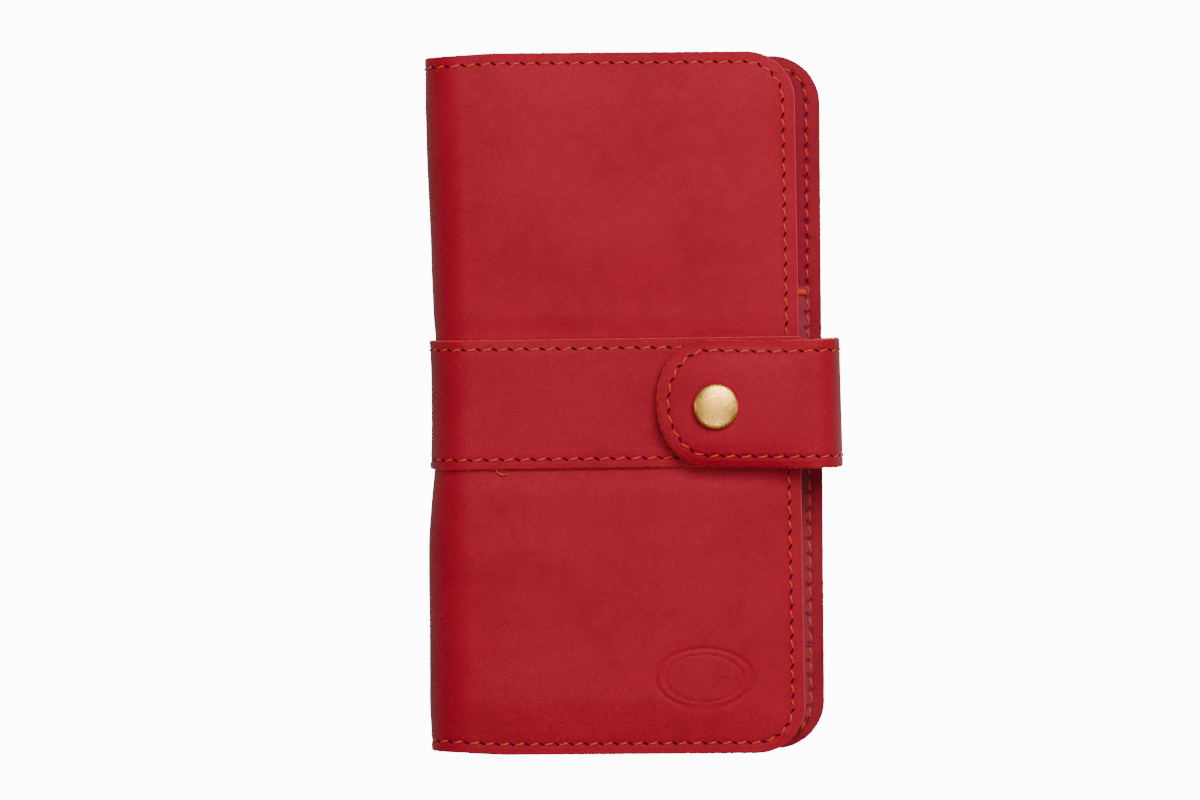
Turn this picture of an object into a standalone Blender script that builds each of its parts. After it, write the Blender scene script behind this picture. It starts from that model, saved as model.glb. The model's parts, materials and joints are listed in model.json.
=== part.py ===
"""Book-style phone wallet case in leather, closed by a wrap-round strap with a snap.

The case lies on its back. +Z is its thickness, with the front cover on top, +Y is the top edge,
and +X runs from the spine to the opening edge. The origin is the bottom centre of the whole case.

Below, a "reach" is a distance along X from the outside of the strap at the spine, and a "level" is
a height along Z above the face that the case lies on. All sizes are in metres.

Five bodies make the case: the back cover, the spine, the front cover, the side of the strap and its
tab. Each moving body hangs on an empty that stands on its fold line.
"""

import math

import bmesh
import bpy
from mathutils import Vector

# Overall sizes
CASE_HEIGHT = 0.1944
FRONT_REACH = 0.1035
BACK_LIP = 0.0070
COVER_CORNER_RADIUS = 0.0135

# Plies
LEATHER_THICKNESS = 0.0012
STIFFENER_THICKNESS = 0.0008
LINING_THICKNESS = 0.0006
POCKET_PLY_THICKNESS = 0.0006
PHONE_PANEL_THICKNESS = 0.0007
STRAP_THICKNESS = 0.0014
STRAP_BACKING_THICKNESS = 0.0006
PLY_GAP = 0.0003

# Covers and spine
STIFFENER_MARGIN = 0.0050
SPINE_LINING_MARGIN = 0.0030
SPINE_BEND_GAP = 0.0015
COVER_CLEARANCE = 0.0008

# Phone pocket
PHONE_POCKET_DEPTH = 0.0070
PHONE_POCKET_MOUTH_DROP = 0.0647
GUSSET_EDGE_MARGIN = 0.0033
GUSSET_SPINE_MARGIN = 0.0020
GUSSET_FLANGE_WIDTH = 0.0059
GUSSET_WALL_THICKNESS = 0.0010
BARTACK_LENGTH = 0.0025
BARTACK_WIDTH = 0.0017
BARTACK_HEIGHT = 0.0005

# Card pockets, counted from the lining inwards
CARD_POCKET_COUNT = 4
CARD_POCKET_BOTTOM_MARGIN = 0.0040
CARD_POCKET_SIDE_MARGIN = 0.0020
CARD_POCKET_SHORTEST = 0.0450
CARD_POCKET_STEP = 0.0130
SLIP_POCKET_MOUTH_MARGIN = 0.0080

# Strap
STRAP_WIDTH = 0.0360
STRAP_END_OVERHANG = 0.0007
STRAP_END_CORNER_RADIUS = 0.0010
STRAP_FOLD_STANDOFF = 0.0048
STRAP_FOLD_RADIUS = 0.0040
STRAP_SHOULDER_LEVEL = 0.0100
STRAP_SHOULDER_WIDTH = 0.0153
STRAP_BEND_GAP = 0.0018
TAB_LENGTH = 0.0518
TAB_TIP_LENGTH = 0.0132

# Snap fastener
SNAP_FROM_TAB_TIP = 0.0164
SNAP_OFF_CENTRE = -0.0011
CAP_RADIUS = 0.00625
CAP_RIM_HEIGHT = 0.0006
CAP_HEIGHT = 0.0020
RIVET_RADIUS = 0.0014
RIVET_CLEARANCE = 0.0003
RIVET_BASE_RADIUS = 0.0040
STUD_FLANGE_RADIUS = 0.0050
STUD_FLANGE_HEIGHT = 0.0005
STUD_NECK_RADIUS = 0.0019
STUD_BALL_RADIUS = 0.0024
STUD_HEIGHT = 0.0025
SOCKET_RADIUS = 0.0060
SOCKET_PLATE_THICKNESS = 0.0005
SNAP_PLAY = 0.0013
SPRING_WIRE_RADIUS = 0.00025

# Smoothness of round shapes
ARC_STEPS = 24
CORNER_STEPS = 8
TURN_STEPS = 32

CASE_NAME = "phone_wallet_case"
CUTTER_NAME = "cutters"


def stacked(start, plies):
    """Levels of plies laid on each other with a small gap, as {name: (bottom, top)}."""
    levels = {}
    level = start
    for name, thickness in plies:
        levels[name] = (level, level + thickness)
        level += thickness + PLY_GAP
    return levels


def card_pocket_names():
    """Names of the card pockets, from the one nearest the lining."""
    return [f"card_pocket_{number}" for number in range(1, CARD_POCKET_COUNT + 1)]


BACK_LEVELS = stacked(0.0, [
    ("strap_back_band", STRAP_THICKNESS),
    ("back_cover_leather", LEATHER_THICKNESS),
    ("back_stiffener", STIFFENER_THICKNESS),
    ("back_lining", LINING_THICKNESS),
    ("phone_pocket_gusset", PHONE_POCKET_DEPTH),
    ("phone_pocket_panel", PHONE_PANEL_THICKNESS),
])
FRONT_LEVELS = stacked(
    BACK_LEVELS["phone_pocket_panel"][1] + COVER_CLEARANCE,
    [(name, POCKET_PLY_THICKNESS) for name in reversed(card_pocket_names())] + [
        ("slip_pocket_panel", POCKET_PLY_THICKNESS),
        ("front_lining", LINING_THICKNESS),
        ("front_stiffener", STIFFENER_THICKNESS),
        ("front_cover_leather", LEATHER_THICKNESS),
        ("strap_front_band", STRAP_THICKNESS),
    ],
)
SNAP_SPACE = PLY_GAP + STUD_HEIGHT + PLY_GAP + SOCKET_PLATE_THICKNESS + PLY_GAP
TAB_LEVELS = stacked(FRONT_LEVELS["strap_front_band"][1] + SNAP_SPACE, [
    ("strap_tab_backing", STRAP_BACKING_THICKNESS),
    ("strap_tab_leather", STRAP_THICKNESS),
    ("snap_cap", CAP_HEIGHT),
])

HALF_HEIGHT = CASE_HEIGHT / 2
HALF_STRAP = STRAP_WIDTH / 2
BACK_REACH = FRONT_REACH + BACK_LIP
FOLD_REACH = BACK_REACH + STRAP_FOLD_STANDOFF
TAB_TIP_REACH = FOLD_REACH - TAB_LENGTH
SNAP_REACH = TAB_TIP_REACH + SNAP_FROM_TAB_TIP
CENTRE_REACH = FOLD_REACH / 2
SNAP_CENTRE = (SNAP_REACH, SNAP_OFF_CENTRE)

SPINE_RADIUS = FRONT_LEVELS["strap_front_band"][1] / 2
SPINE_LEVEL = SPINE_RADIUS
COVER_START = SPINE_RADIUS + SPINE_BEND_GAP
TAB_TOP_LEVEL = TAB_LEVELS["strap_tab_leather"][1]
POCKET_MOUTH_Y = HALF_HEIGHT - PHONE_POCKET_MOUTH_DROP


def x_of(reach):
    """X of a reach."""
    return reach - CENTRE_REACH


def arc(centre, radii, start, end, steps):
    """Points on an ellipse's arc, from a start angle to an end angle in degrees."""
    points = []
    for step in range(steps + 1):
        angle = math.radians(start + (end - start) * step / steps)
        points.append((centre[0] + radii[0] * math.cos(angle), centre[1] + radii[1] * math.sin(angle)))
    return points


def circle(centre, radius, steps=TURN_STEPS):
    """Points round a circle, without repeating the first."""
    return arc(centre, (radius, radius), 0, 360, steps)[:-1]


# Making objects


def empty_scene():
    """Remove whatever the scene holds."""
    for thing in list(bpy.data.objects):
        bpy.data.objects.remove(thing, do_unlink=True)


def new_collection(name):
    """A collection in the scene."""
    made = bpy.data.collections.new(name)
    bpy.context.scene.collection.children.link(made)
    return made


def material(name, colour, roughness, metallic=0.0):
    """A Principled BSDF material with one linear colour."""
    made = bpy.data.materials.new(name)
    made.use_nodes = True
    shader = made.node_tree.nodes["Principled BSDF"]
    shader.inputs["Base Color"].default_value = (*colour, 1.0)
    shader.inputs["Roughness"].default_value = roughness
    shader.inputs["Metallic"].default_value = metallic
    made.diffuse_color = (*colour, 1.0)
    return made


FINISHES = {
    "leather": ((0.42, 0.026, 0.034), 0.45, 0.0),
    "raw_leather": ((0.55, 0.13, 0.11), 0.70, 0.0),
    "lining": ((0.25, 0.025, 0.038), 0.60, 0.0),
    "board": ((0.35, 0.27, 0.18), 0.85, 0.0),
    "thread": ((0.75, 0.10, 0.02), 0.60, 0.0),
    "brass": ((0.72, 0.52, 0.32), 0.35, 1.0),
    "steel": ((0.55, 0.55, 0.55), 0.30, 1.0),
}


def finish(thing, name):
    """Give an object a material of its own, in one of the finishes."""
    thing.data.materials.append(material(f"{thing.name}_{name}", *FINISHES[name]))
    return thing


def flat_curve(name, outlines, thickness):
    """A filled 2D curve, with further outlines as holes, extruded to a thickness about its plane."""
    data = bpy.data.curves.new(name, "CURVE")
    data.dimensions = "2D"
    data.fill_mode = "BOTH"
    data.extrude = thickness / 2
    for outline in outlines:
        spline = data.splines.new("POLY")
        spline.points.add(len(outline) - 1)
        for point, (across, along) in zip(spline.points, outline):
            point.co = (across, along, 0.0, 1.0)
        spline.use_cyclic_u = True
    made = bpy.data.objects.new(name, data)
    case.objects.link(made)
    return made


def plate(name, levels, *outlines):
    """A ply that lies flat between two levels. Outlines are (reach, y) points."""
    placed = [[(x_of(reach), y) for reach, y in outline] for outline in outlines]
    made = flat_curve(name, placed, levels[1] - levels[0])
    made.location = (0.0, 0.0, (levels[0] + levels[1]) / 2)
    return made


def strip(name, profile, width):
    """A ply with one bent profile of (reach, level) points all along Y."""
    made = flat_curve(name, [[(x_of(reach), level) for reach, level in profile]], width)
    made.rotation_euler = (math.radians(90), 0.0, 0.0)
    return made


def turned(name, profile, centre):
    """A turned piece. The profile of (radius, level) points runs down its outer side."""
    data = bpy.data.meshes.new(name)
    points = [(radius, 0.0, level) for radius, level in profile]
    edges = [(number, number + 1) for number in range(len(points) - 1)]
    data.from_pydata(points, edges, [])
    made = bpy.data.objects.new(name, data)
    made.location = (x_of(centre[0]), centre[1], 0.0)
    case.objects.link(made)
    screw = made.modifiers.new("turn", "SCREW")
    screw.steps = TURN_STEPS
    screw.render_steps = TURN_STEPS
    screw.use_merge_vertices = True
    screw.merge_threshold = 0.00001
    screw.use_smooth_shade = False
    return made


def as_mesh(curve):
    """Turn a curve object into a mesh object in the same place, with its caps welded."""
    bpy.context.view_layer.update()
    evaluated = curve.evaluated_get(bpy.context.evaluated_depsgraph_get())
    data = bpy.data.meshes.new_from_object(evaluated)
    solid = bmesh.new()
    solid.from_mesh(data)
    bmesh.ops.remove_doubles(solid, verts=solid.verts, dist=0.00001)
    bmesh.ops.recalc_face_normals(solid, faces=solid.faces)
    solid.to_mesh(data)
    solid.free()
    name = curve.name
    place = curve.matrix_world.copy()
    bpy.data.objects.remove(curve, do_unlink=True)
    made = bpy.data.objects.new(name, data)
    made.matrix_world = place
    case.objects.link(made)
    return made


def combine(thing, cutter, operation):
    """Cut, join or trim an object with another, which becomes a hidden wire cutter."""
    for collection in list(cutter.users_collection):
        collection.objects.unlink(cutter)
    cutters.objects.link(cutter)
    cutter.name = f"{thing.name}_{operation.lower()}_guide"
    cutter.display_type = "WIRE"
    cutter.hide_render = True
    boolean = thing.modifiers.new(operation.lower(), "BOOLEAN")
    boolean.operation = operation
    boolean.solver = "EXACT"
    boolean.object = cutter
    return thing


# Outlines, in (reach, y)


def cover_outline(start, end, bottom, top, radius):
    """A sheet with a square edge at the spine and two round corners at its far edge."""
    far_top = arc((end - radius, top - radius), (radius, radius), 0, 90, CORNER_STEPS)
    far_bottom = arc((end - radius, bottom + radius), (radius, radius), -90, 0, CORNER_STEPS)
    return [(start, bottom), *far_bottom, *far_top, (start, top)]


def whole_cover(reach, margin=0.0, spine_margin=0.0):
    """A cover's outline, or a smaller one that keeps a margin from it."""
    return cover_outline(
        COVER_START + spine_margin,
        reach - margin,
        -HALF_HEIGHT + margin,
        HALF_HEIGHT - margin,
        COVER_CORNER_RADIUS - margin,
    )


def pocket_ring(inset, thickness):
    """A U open at the pocket's mouth, inset from the back cover's edge and this thick."""
    def side(margin):
        start = COVER_START + GUSSET_SPINE_MARGIN + margin - GUSSET_EDGE_MARGIN
        radius = max(COVER_CORNER_RADIUS - margin, 0.002)
        corner = arc(
            (BACK_REACH - margin - radius, -HALF_HEIGHT + margin + radius),
            (radius, radius), -90, 0, CORNER_STEPS,
        )
        return [
            (start, POCKET_MOUTH_Y), (start, -HALF_HEIGHT + margin), *corner,
            (BACK_REACH - margin, POCKET_MOUTH_Y),
        ]
    return side(inset) + side(inset + thickness)[::-1]


def pocket_panel_outline():
    """The phone pocket's front ply, which ends flush with the outside of the gusset's wall."""
    margin = GUSSET_EDGE_MARGIN + GUSSET_FLANGE_WIDTH - GUSSET_WALL_THICKNESS
    wall = pocket_ring(margin, GUSSET_WALL_THICKNESS)
    return wall[: len(wall) // 2]


def band_outline(start, end):
    """A straight length of strap with two small round corners at its far end."""
    return cover_outline(start, end, -HALF_STRAP, HALF_STRAP, STRAP_END_CORNER_RADIUS)


def tab_outline():
    """The strap's free end, with a half-elliptical tip that points back to the spine."""
    tip = arc((TAB_TIP_REACH + TAB_TIP_LENGTH, 0.0), (TAB_TIP_LENGTH, HALF_STRAP), 90, 270, ARC_STEPS)
    return [(FOLD_REACH, -HALF_STRAP), (FOLD_REACH, HALF_STRAP), *tip]


def rivet_hole(radius=RIVET_RADIUS + RIVET_CLEARANCE):
    """A hole on the snap's axis."""
    return circle(SNAP_CENTRE, radius)


# Bent profiles, in (reach, level)


def spine_profile(depth, thickness):
    """A half tube round the spine, this deep under the strap's outer face."""
    centre = (SPINE_RADIUS, SPINE_LEVEL)
    outer = SPINE_RADIUS - depth
    inner = outer - thickness
    return (
        arc(centre, (outer, outer), 90, 270, ARC_STEPS)
        + arc(centre, (inner, inner), 270, 90, ARC_STEPS)
    )


LOWER_BEND = (FOLD_REACH - STRAP_FOLD_RADIUS, STRAP_FOLD_RADIUS)
UPPER_BEND = (FOLD_REACH - STRAP_SHOULDER_WIDTH, STRAP_SHOULDER_LEVEL)


def lower_bend(depth, start, end):
    """Part of the strap's quarter bend under the opening edge, at a depth under its outer face."""
    radius = STRAP_FOLD_RADIUS - depth
    return arc(LOWER_BEND, (radius, radius), start, end, CORNER_STEPS)


def upper_bend(depth, start, end):
    """Part of the strap's quarter bend over the opening edge, at a depth under its outer face."""
    width = STRAP_SHOULDER_WIDTH - depth
    height = TAB_TOP_LEVEL - STRAP_SHOULDER_LEVEL - depth
    return arc(UPPER_BEND, (width, height), start, end, CORNER_STEPS)


def half_gap_angle(radius):
    """The angle, in degrees, that half the gap between two lengths of strap takes up on a bend."""
    return math.degrees(STRAP_BEND_GAP / 2 / radius)


LOWER_GAP = half_gap_angle(STRAP_FOLD_RADIUS - STRAP_THICKNESS / 2)
UPPER_GAP = half_gap_angle(STRAP_SHOULDER_WIDTH - STRAP_THICKNESS / 2)
BACK_BAND_END = -45 - LOWER_GAP
SIDE_START = -45 + LOWER_GAP
SIDE_END = 45 - UPPER_GAP
TAB_START = 45 + UPPER_GAP


def ribbon(face, depth, thickness):
    """A profile between two depths, from a function that gives a face's points at a depth."""
    return face(depth) + face(depth + thickness)[::-1]


def back_band_face(depth):
    """The strap under the back cover, up to the middle of the lower bend."""
    return [(COVER_START, depth)] + lower_bend(depth, -90, BACK_BAND_END)


def side_face(depth):
    """The strap's side, from the middle of the lower bend to the middle of the upper one."""
    return lower_bend(depth, SIDE_START, 0) + upper_bend(depth, 0, SIDE_END)


def tab_face(depth):
    """The strap's tab, from the middle of the upper bend to its tip."""
    return upper_bend(depth, TAB_START, 90) + [(TAB_TIP_REACH - TAB_TIP_LENGTH, TAB_TOP_LEVEL - depth)]


# Fold lines. Each stands where a quarter bend turns so that it unrolls flat.


def bend_length(width, height):
    """Length of a quarter ellipse, by Ramanujan's formula."""
    root = math.sqrt((3 * width + height) * (width + 3 * height))
    return math.pi / 4 * (3 * (width + height) - root)


def spine_fold(side):
    """Fold line between the spine and a cover, for the back (-1) or the front (+1)."""
    radius = SPINE_RADIUS - STRAP_THICKNESS - PLY_GAP - LEATHER_THICKNESS / 2
    half = bend_length(radius, radius) / 2
    return (SPINE_RADIUS - half, SPINE_LEVEL + side * half)


def strap_side_fold():
    """Fold line of the strap's side, in the lower bend."""
    radius = STRAP_FOLD_RADIUS - STRAP_THICKNESS / 2
    half = bend_length(radius, radius) / 2
    return (LOWER_BEND[0] + half, LOWER_BEND[1] - half)


def strap_tab_fold():
    """Fold line of the strap's tab, in the upper bend."""
    width = STRAP_SHOULDER_WIDTH - STRAP_THICKNESS / 2
    height = TAB_TOP_LEVEL - STRAP_SHOULDER_LEVEL - STRAP_THICKNESS / 2
    length = bend_length(width, height)
    return (UPPER_BEND[0] + (width - height + length) / 2, UPPER_BEND[1] + (height - width + length) / 2)


def fold_line(name, fold, parent=None):
    """An empty on a fold line."""
    made = bpy.data.objects.new(name, None)
    made.empty_display_size = 0.01
    place = Vector((x_of(fold[0]), 0.0, fold[1]))
    case.objects.link(made)
    hang(made, place, parent)
    return made, place


def hang(thing, place, parent):
    """Put an object at a place in the world, under a fold line if it has one."""
    if parent is None:
        thing.location = place
        return
    thing.parent = parent[0]
    thing.location = place - parent[1]


def hang_all(things, parent):
    """Hang objects that already stand where they should on a fold line."""
    for thing in things:
        hang(thing, thing.location.copy(), parent)


# The back cover


def back_cover_leather():
    """The back cover's outer leather."""
    levels = BACK_LEVELS["back_cover_leather"]
    return finish(plate("back_cover_leather", levels, whole_cover(BACK_REACH)), "leather")


def back_stiffener():
    """The board inside the back cover."""
    outline = whole_cover(BACK_REACH, STIFFENER_MARGIN)
    return finish(plate("back_stiffener", BACK_LEVELS["back_stiffener"], outline), "board")


def back_lining():
    """The back cover's lining, sewn to the leather all round."""
    return finish(plate("back_lining", BACK_LEVELS["back_lining"], whole_cover(BACK_REACH)), "lining")


def phone_pocket_gusset():
    """The strip that gives the phone pocket its depth: a sewn-down flange and an upright wall."""
    bottom, top = BACK_LEVELS["phone_pocket_gusset"]
    flange_outline = pocket_ring(GUSSET_EDGE_MARGIN, GUSSET_FLANGE_WIDTH)
    wall_margin = GUSSET_EDGE_MARGIN + GUSSET_FLANGE_WIDTH - GUSSET_WALL_THICKNESS
    wall_outline = pocket_ring(wall_margin, GUSSET_WALL_THICKNESS)
    flange = as_mesh(plate("phone_pocket_gusset", (bottom, bottom + LINING_THICKNESS), flange_outline))
    wall = as_mesh(plate("gusset_wall", (bottom, top), wall_outline))
    return finish(combine(flange, wall, "UNION"), "lining")


def phone_pocket_panel():
    """The phone pocket's front ply."""
    levels = BACK_LEVELS["phone_pocket_panel"]
    return finish(plate("phone_pocket_panel", levels, pocket_panel_outline()), "lining")


def bartack(name, reach):
    """A thread bar that locks the gusset's flange at the pocket's mouth."""
    flange_top = BACK_LEVELS["phone_pocket_gusset"][0] + LINING_THICKNESS
    bpy.ops.mesh.primitive_cube_add(size=1.0)
    made = bpy.context.object
    made.name = name
    made.data.transform(
        ((BARTACK_LENGTH, 0, 0, 0), (0, BARTACK_WIDTH, 0, 0), (0, 0, BARTACK_HEIGHT, 0), (0, 0, 0, 1))
    )
    made.location = (
        x_of(reach),
        POCKET_MOUTH_Y - BARTACK_WIDTH,
        flange_top + PLY_GAP + BARTACK_HEIGHT / 2,
    )
    for collection in list(made.users_collection):
        collection.objects.unlink(made)
    case.objects.link(made)
    return finish(made, "thread")


def bartacks():
    """The thread bars at both ends of the pocket's mouth, in the middle of the flange."""
    inset = (GUSSET_FLANGE_WIDTH - GUSSET_WALL_THICKNESS) / 2
    near_spine = COVER_START + GUSSET_SPINE_MARGIN + inset
    near_edge = BACK_REACH - GUSSET_EDGE_MARGIN - inset
    return [bartack("bartack_left", near_spine), bartack("bartack_right", near_edge)]


def strap_back_band():
    """The length of strap sewn across the back cover."""
    profile = ribbon(back_band_face, 0.0, STRAP_THICKNESS)
    return finish(strip("strap_back_band", profile, STRAP_WIDTH), "leather")


# The spine


def spine_pieces():
    """The spine's leather, its lining and the strap's length round it."""
    leather_depth = STRAP_THICKNESS + PLY_GAP
    leather = spine_profile(leather_depth, LEATHER_THICKNESS)
    lining = spine_profile(leather_depth + LEATHER_THICKNESS + PLY_GAP, LINING_THICKNESS)
    band = spine_profile(0.0, STRAP_THICKNESS)
    return [
        finish(strip("spine_leather", leather, CASE_HEIGHT), "leather"),
        finish(strip("spine_lining", lining, CASE_HEIGHT - 2 * SPINE_LINING_MARGIN), "lining"),
        finish(strip("strap_spine_band", band, STRAP_WIDTH), "leather"),
    ]


# The front cover


def front_cover_leather():
    """The front cover's outer leather, holed for the stud's rivet."""
    levels = FRONT_LEVELS["front_cover_leather"]
    made = plate("front_cover_leather", levels, whole_cover(FRONT_REACH), rivet_hole())
    return finish(made, "leather")


def front_stiffener():
    """The board inside the front cover, holed for the base of the stud's rivet."""
    outline = whole_cover(FRONT_REACH, STIFFENER_MARGIN)
    hole = rivet_hole(RIVET_BASE_RADIUS + RIVET_CLEARANCE)
    return finish(plate("front_stiffener", FRONT_LEVELS["front_stiffener"], outline, hole), "board")


def front_lining():
    """The front cover's lining."""
    levels = FRONT_LEVELS["front_lining"]
    return finish(plate("front_lining", levels, whole_cover(FRONT_REACH)), "lining")


def slip_pocket_panel():
    """The ply behind the card pockets, a note pocket that opens towards the spine."""
    outline = whole_cover(FRONT_REACH, CARD_POCKET_SIDE_MARGIN, SLIP_POCKET_MOUTH_MARGIN)
    return finish(plate("slip_pocket_panel", FRONT_LEVELS["slip_pocket_panel"], outline), "lining")


def card_pocket(number, name):
    """A card pocket. Each next one lies on the last, and its mouth is a step lower."""
    bottom = -HALF_HEIGHT + CARD_POCKET_BOTTOM_MARGIN
    height = CARD_POCKET_SHORTEST + CARD_POCKET_STEP * (CARD_POCKET_COUNT - number)
    end = FRONT_REACH - CARD_POCKET_SIDE_MARGIN
    radius = COVER_CORNER_RADIUS - CARD_POCKET_SIDE_MARGIN
    corner = arc((end - radius, bottom + radius), (radius, radius), -90, 0, CORNER_STEPS)
    start = COVER_START + CARD_POCKET_SIDE_MARGIN
    outline = [(start, bottom), *corner, (end, bottom + height), (start, bottom + height)]
    return finish(plate(name, FRONT_LEVELS[name], outline), "lining")


def card_pockets():
    """All the card pockets."""
    return [card_pocket(number, name) for number, name in enumerate(card_pocket_names(), 1)]


def strap_front_band():
    """The length of strap sewn across the front cover, holed for the stud's rivet."""
    outline = band_outline(COVER_START, FRONT_REACH + STRAP_END_OVERHANG)
    levels = FRONT_LEVELS["strap_front_band"]
    return finish(plate("strap_front_band", levels, outline, rivet_hole()), "leather")


def snap_stud_post():
    """The rivet that holds the stud: a base in the stiffener's hole and a post up through the band."""
    base_bottom, base_top = FRONT_LEVELS["front_stiffener"]
    top = FRONT_LEVELS["strap_front_band"][1]
    profile = [
        (0.0, top), (RIVET_RADIUS, top), (RIVET_RADIUS, base_top),
        (RIVET_BASE_RADIUS, base_top), (RIVET_BASE_RADIUS, base_bottom), (0.0, base_bottom),
    ]
    return finish(turned("snap_stud_post", profile, SNAP_CENTRE), "brass")


def snap_stud():
    """The snap's male half: a flange on the band, a neck and a ball."""
    bottom = FRONT_LEVELS["strap_front_band"][1] + PLY_GAP
    top = bottom + STUD_HEIGHT
    ball_height = STUD_BALL_RADIUS / 2
    ball = arc((0.0, top - ball_height), (STUD_BALL_RADIUS, ball_height), 90, -40, CORNER_STEPS)
    flange_top = bottom + STUD_FLANGE_HEIGHT
    profile = [
        (0.0, top), *ball[1:], (STUD_NECK_RADIUS, flange_top),
        (STUD_FLANGE_RADIUS, flange_top), (STUD_FLANGE_RADIUS, bottom), (0.0, bottom),
    ]
    return finish(turned("snap_stud", profile, SNAP_CENTRE), "brass")


# The strap's side and tab


def strap_side():
    """The side of the strap, two plies that fold round the opening edge."""
    backing_depth = STRAP_THICKNESS + PLY_GAP
    leather = strip("strap_side_leather", ribbon(side_face, 0.0, STRAP_THICKNESS), STRAP_WIDTH)
    backing = strip(
        "strap_side_backing", ribbon(side_face, backing_depth, STRAP_BACKING_THICKNESS), STRAP_WIDTH
    )
    return [finish(leather, "leather"), finish(backing, "raw_leather")]


def tab_ply(name, depth, thickness):
    """A ply of the tab: a bent strip trimmed to the tab's outline and holed for the cap's rivet."""
    ply = as_mesh(strip(name, ribbon(tab_face, depth, thickness), STRAP_WIDTH * 2))
    guide = as_mesh(plate("guide", (0.0, TAB_TOP_LEVEL * 2), tab_outline(), rivet_hole()))
    return combine(ply, guide, "INTERSECT")


def strap_tab():
    """The tab's leather and its backing."""
    backing_depth = STRAP_THICKNESS + PLY_GAP
    return [
        finish(tab_ply("strap_tab_leather", 0.0, STRAP_THICKNESS), "leather"),
        finish(tab_ply("strap_tab_backing", backing_depth, STRAP_BACKING_THICKNESS), "raw_leather"),
    ]


def snap_cap():
    """The domed cap on the tab, with its rivet down through both plies."""
    bottom, top = TAB_LEVELS["snap_cap"]
    rim = bottom + CAP_RIM_HEIGHT
    dome = arc((0.0, rim), (CAP_RADIUS, top - rim), 90, 0, CORNER_STEPS)
    rivet_end = TAB_LEVELS["strap_tab_backing"][0]
    profile = [
        (0.0, top), *dome[1:], (CAP_RADIUS, bottom), (RIVET_RADIUS, bottom),
        (RIVET_RADIUS, rivet_end), (0.0, rivet_end),
    ]
    return finish(turned("snap_cap", profile, SNAP_CENTRE), "brass")


def snap_socket():
    """The snap's female half under the tab: a plate with a ring that drops over the stud."""
    top = TAB_LEVELS["strap_tab_backing"][0] - PLY_GAP
    plate_bottom = top - SOCKET_PLATE_THICKNESS
    bottom = FRONT_LEVELS["strap_front_band"][1] + PLY_GAP + STUD_FLANGE_HEIGHT + 2 * PLY_GAP
    bore = STUD_BALL_RADIUS + SNAP_PLAY
    profile = [
        (0.0, top), (SOCKET_RADIUS, top), (SOCKET_RADIUS, bottom), (bore, bottom),
        (bore, plate_bottom), (0.0, plate_bottom),
    ]
    return finish(turned("snap_socket", profile, SNAP_CENTRE), "brass")


def snap_spring():
    """The wire ring inside the socket that grips the stud."""
    level = TAB_LEVELS["strap_tab_backing"][0] - PLY_GAP - SOCKET_PLATE_THICKNESS - 4 * SPRING_WIRE_RADIUS
    bpy.ops.mesh.primitive_torus_add(
        major_radius=STUD_BALL_RADIUS + SNAP_PLAY / 2,
        minor_radius=SPRING_WIRE_RADIUS,
        major_segments=TURN_STEPS,
        minor_segments=CORNER_STEPS,
        location=(x_of(SNAP_REACH), SNAP_OFF_CENTRE, level),
    )
    made = bpy.context.object
    made.name = "snap_spring"
    for collection in list(made.users_collection):
        collection.objects.unlink(made)
    case.objects.link(made)
    return finish(made, "steel")


def build():
    """Make the whole case."""
    back_cover_leather()
    back_stiffener()
    back_lining()
    phone_pocket_gusset()
    phone_pocket_panel()
    bartacks()
    strap_back_band()

    spine = fold_line("spine_fold_back", spine_fold(-1))
    hang_all(spine_pieces(), spine)

    front = fold_line("spine_fold_front", spine_fold(1), spine)
    hang_all([front_cover_leather(), front_stiffener(), front_lining(), slip_pocket_panel()], front)
    hang_all(card_pockets(), front)
    hang_all([strap_front_band(), snap_stud(), snap_stud_post()], front)

    side = fold_line("strap_side_fold", strap_side_fold())
    hang_all(strap_side(), side)

    tab = fold_line("strap_tab_fold", strap_tab_fold(), side)
    hang_all(strap_tab(), tab)
    hang_all([snap_cap(), snap_socket(), snap_spring()], tab)


empty_scene()
case = new_collection(CASE_NAME)
cutters = new_collection(CUTTER_NAME)
build()
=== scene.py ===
"""Looks of a red leather phone wallet case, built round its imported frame.

The case lies closed on its back, with its strap snapped over the front cover. Each sub-assembly is
a class that works its places out from the frame, builds its pieces and dresses them. A ply of
leather is a grid that follows a bent profile, so that covers, spine and strap bend as real hide
does. Lengths are in millimetres until a mesh is made, which is in metres.
"""

import json
import logging
import math
from dataclasses import dataclass, field, replace
from enum import Enum
from typing import Any, Callable, ClassVar, Optional, Sequence

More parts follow.
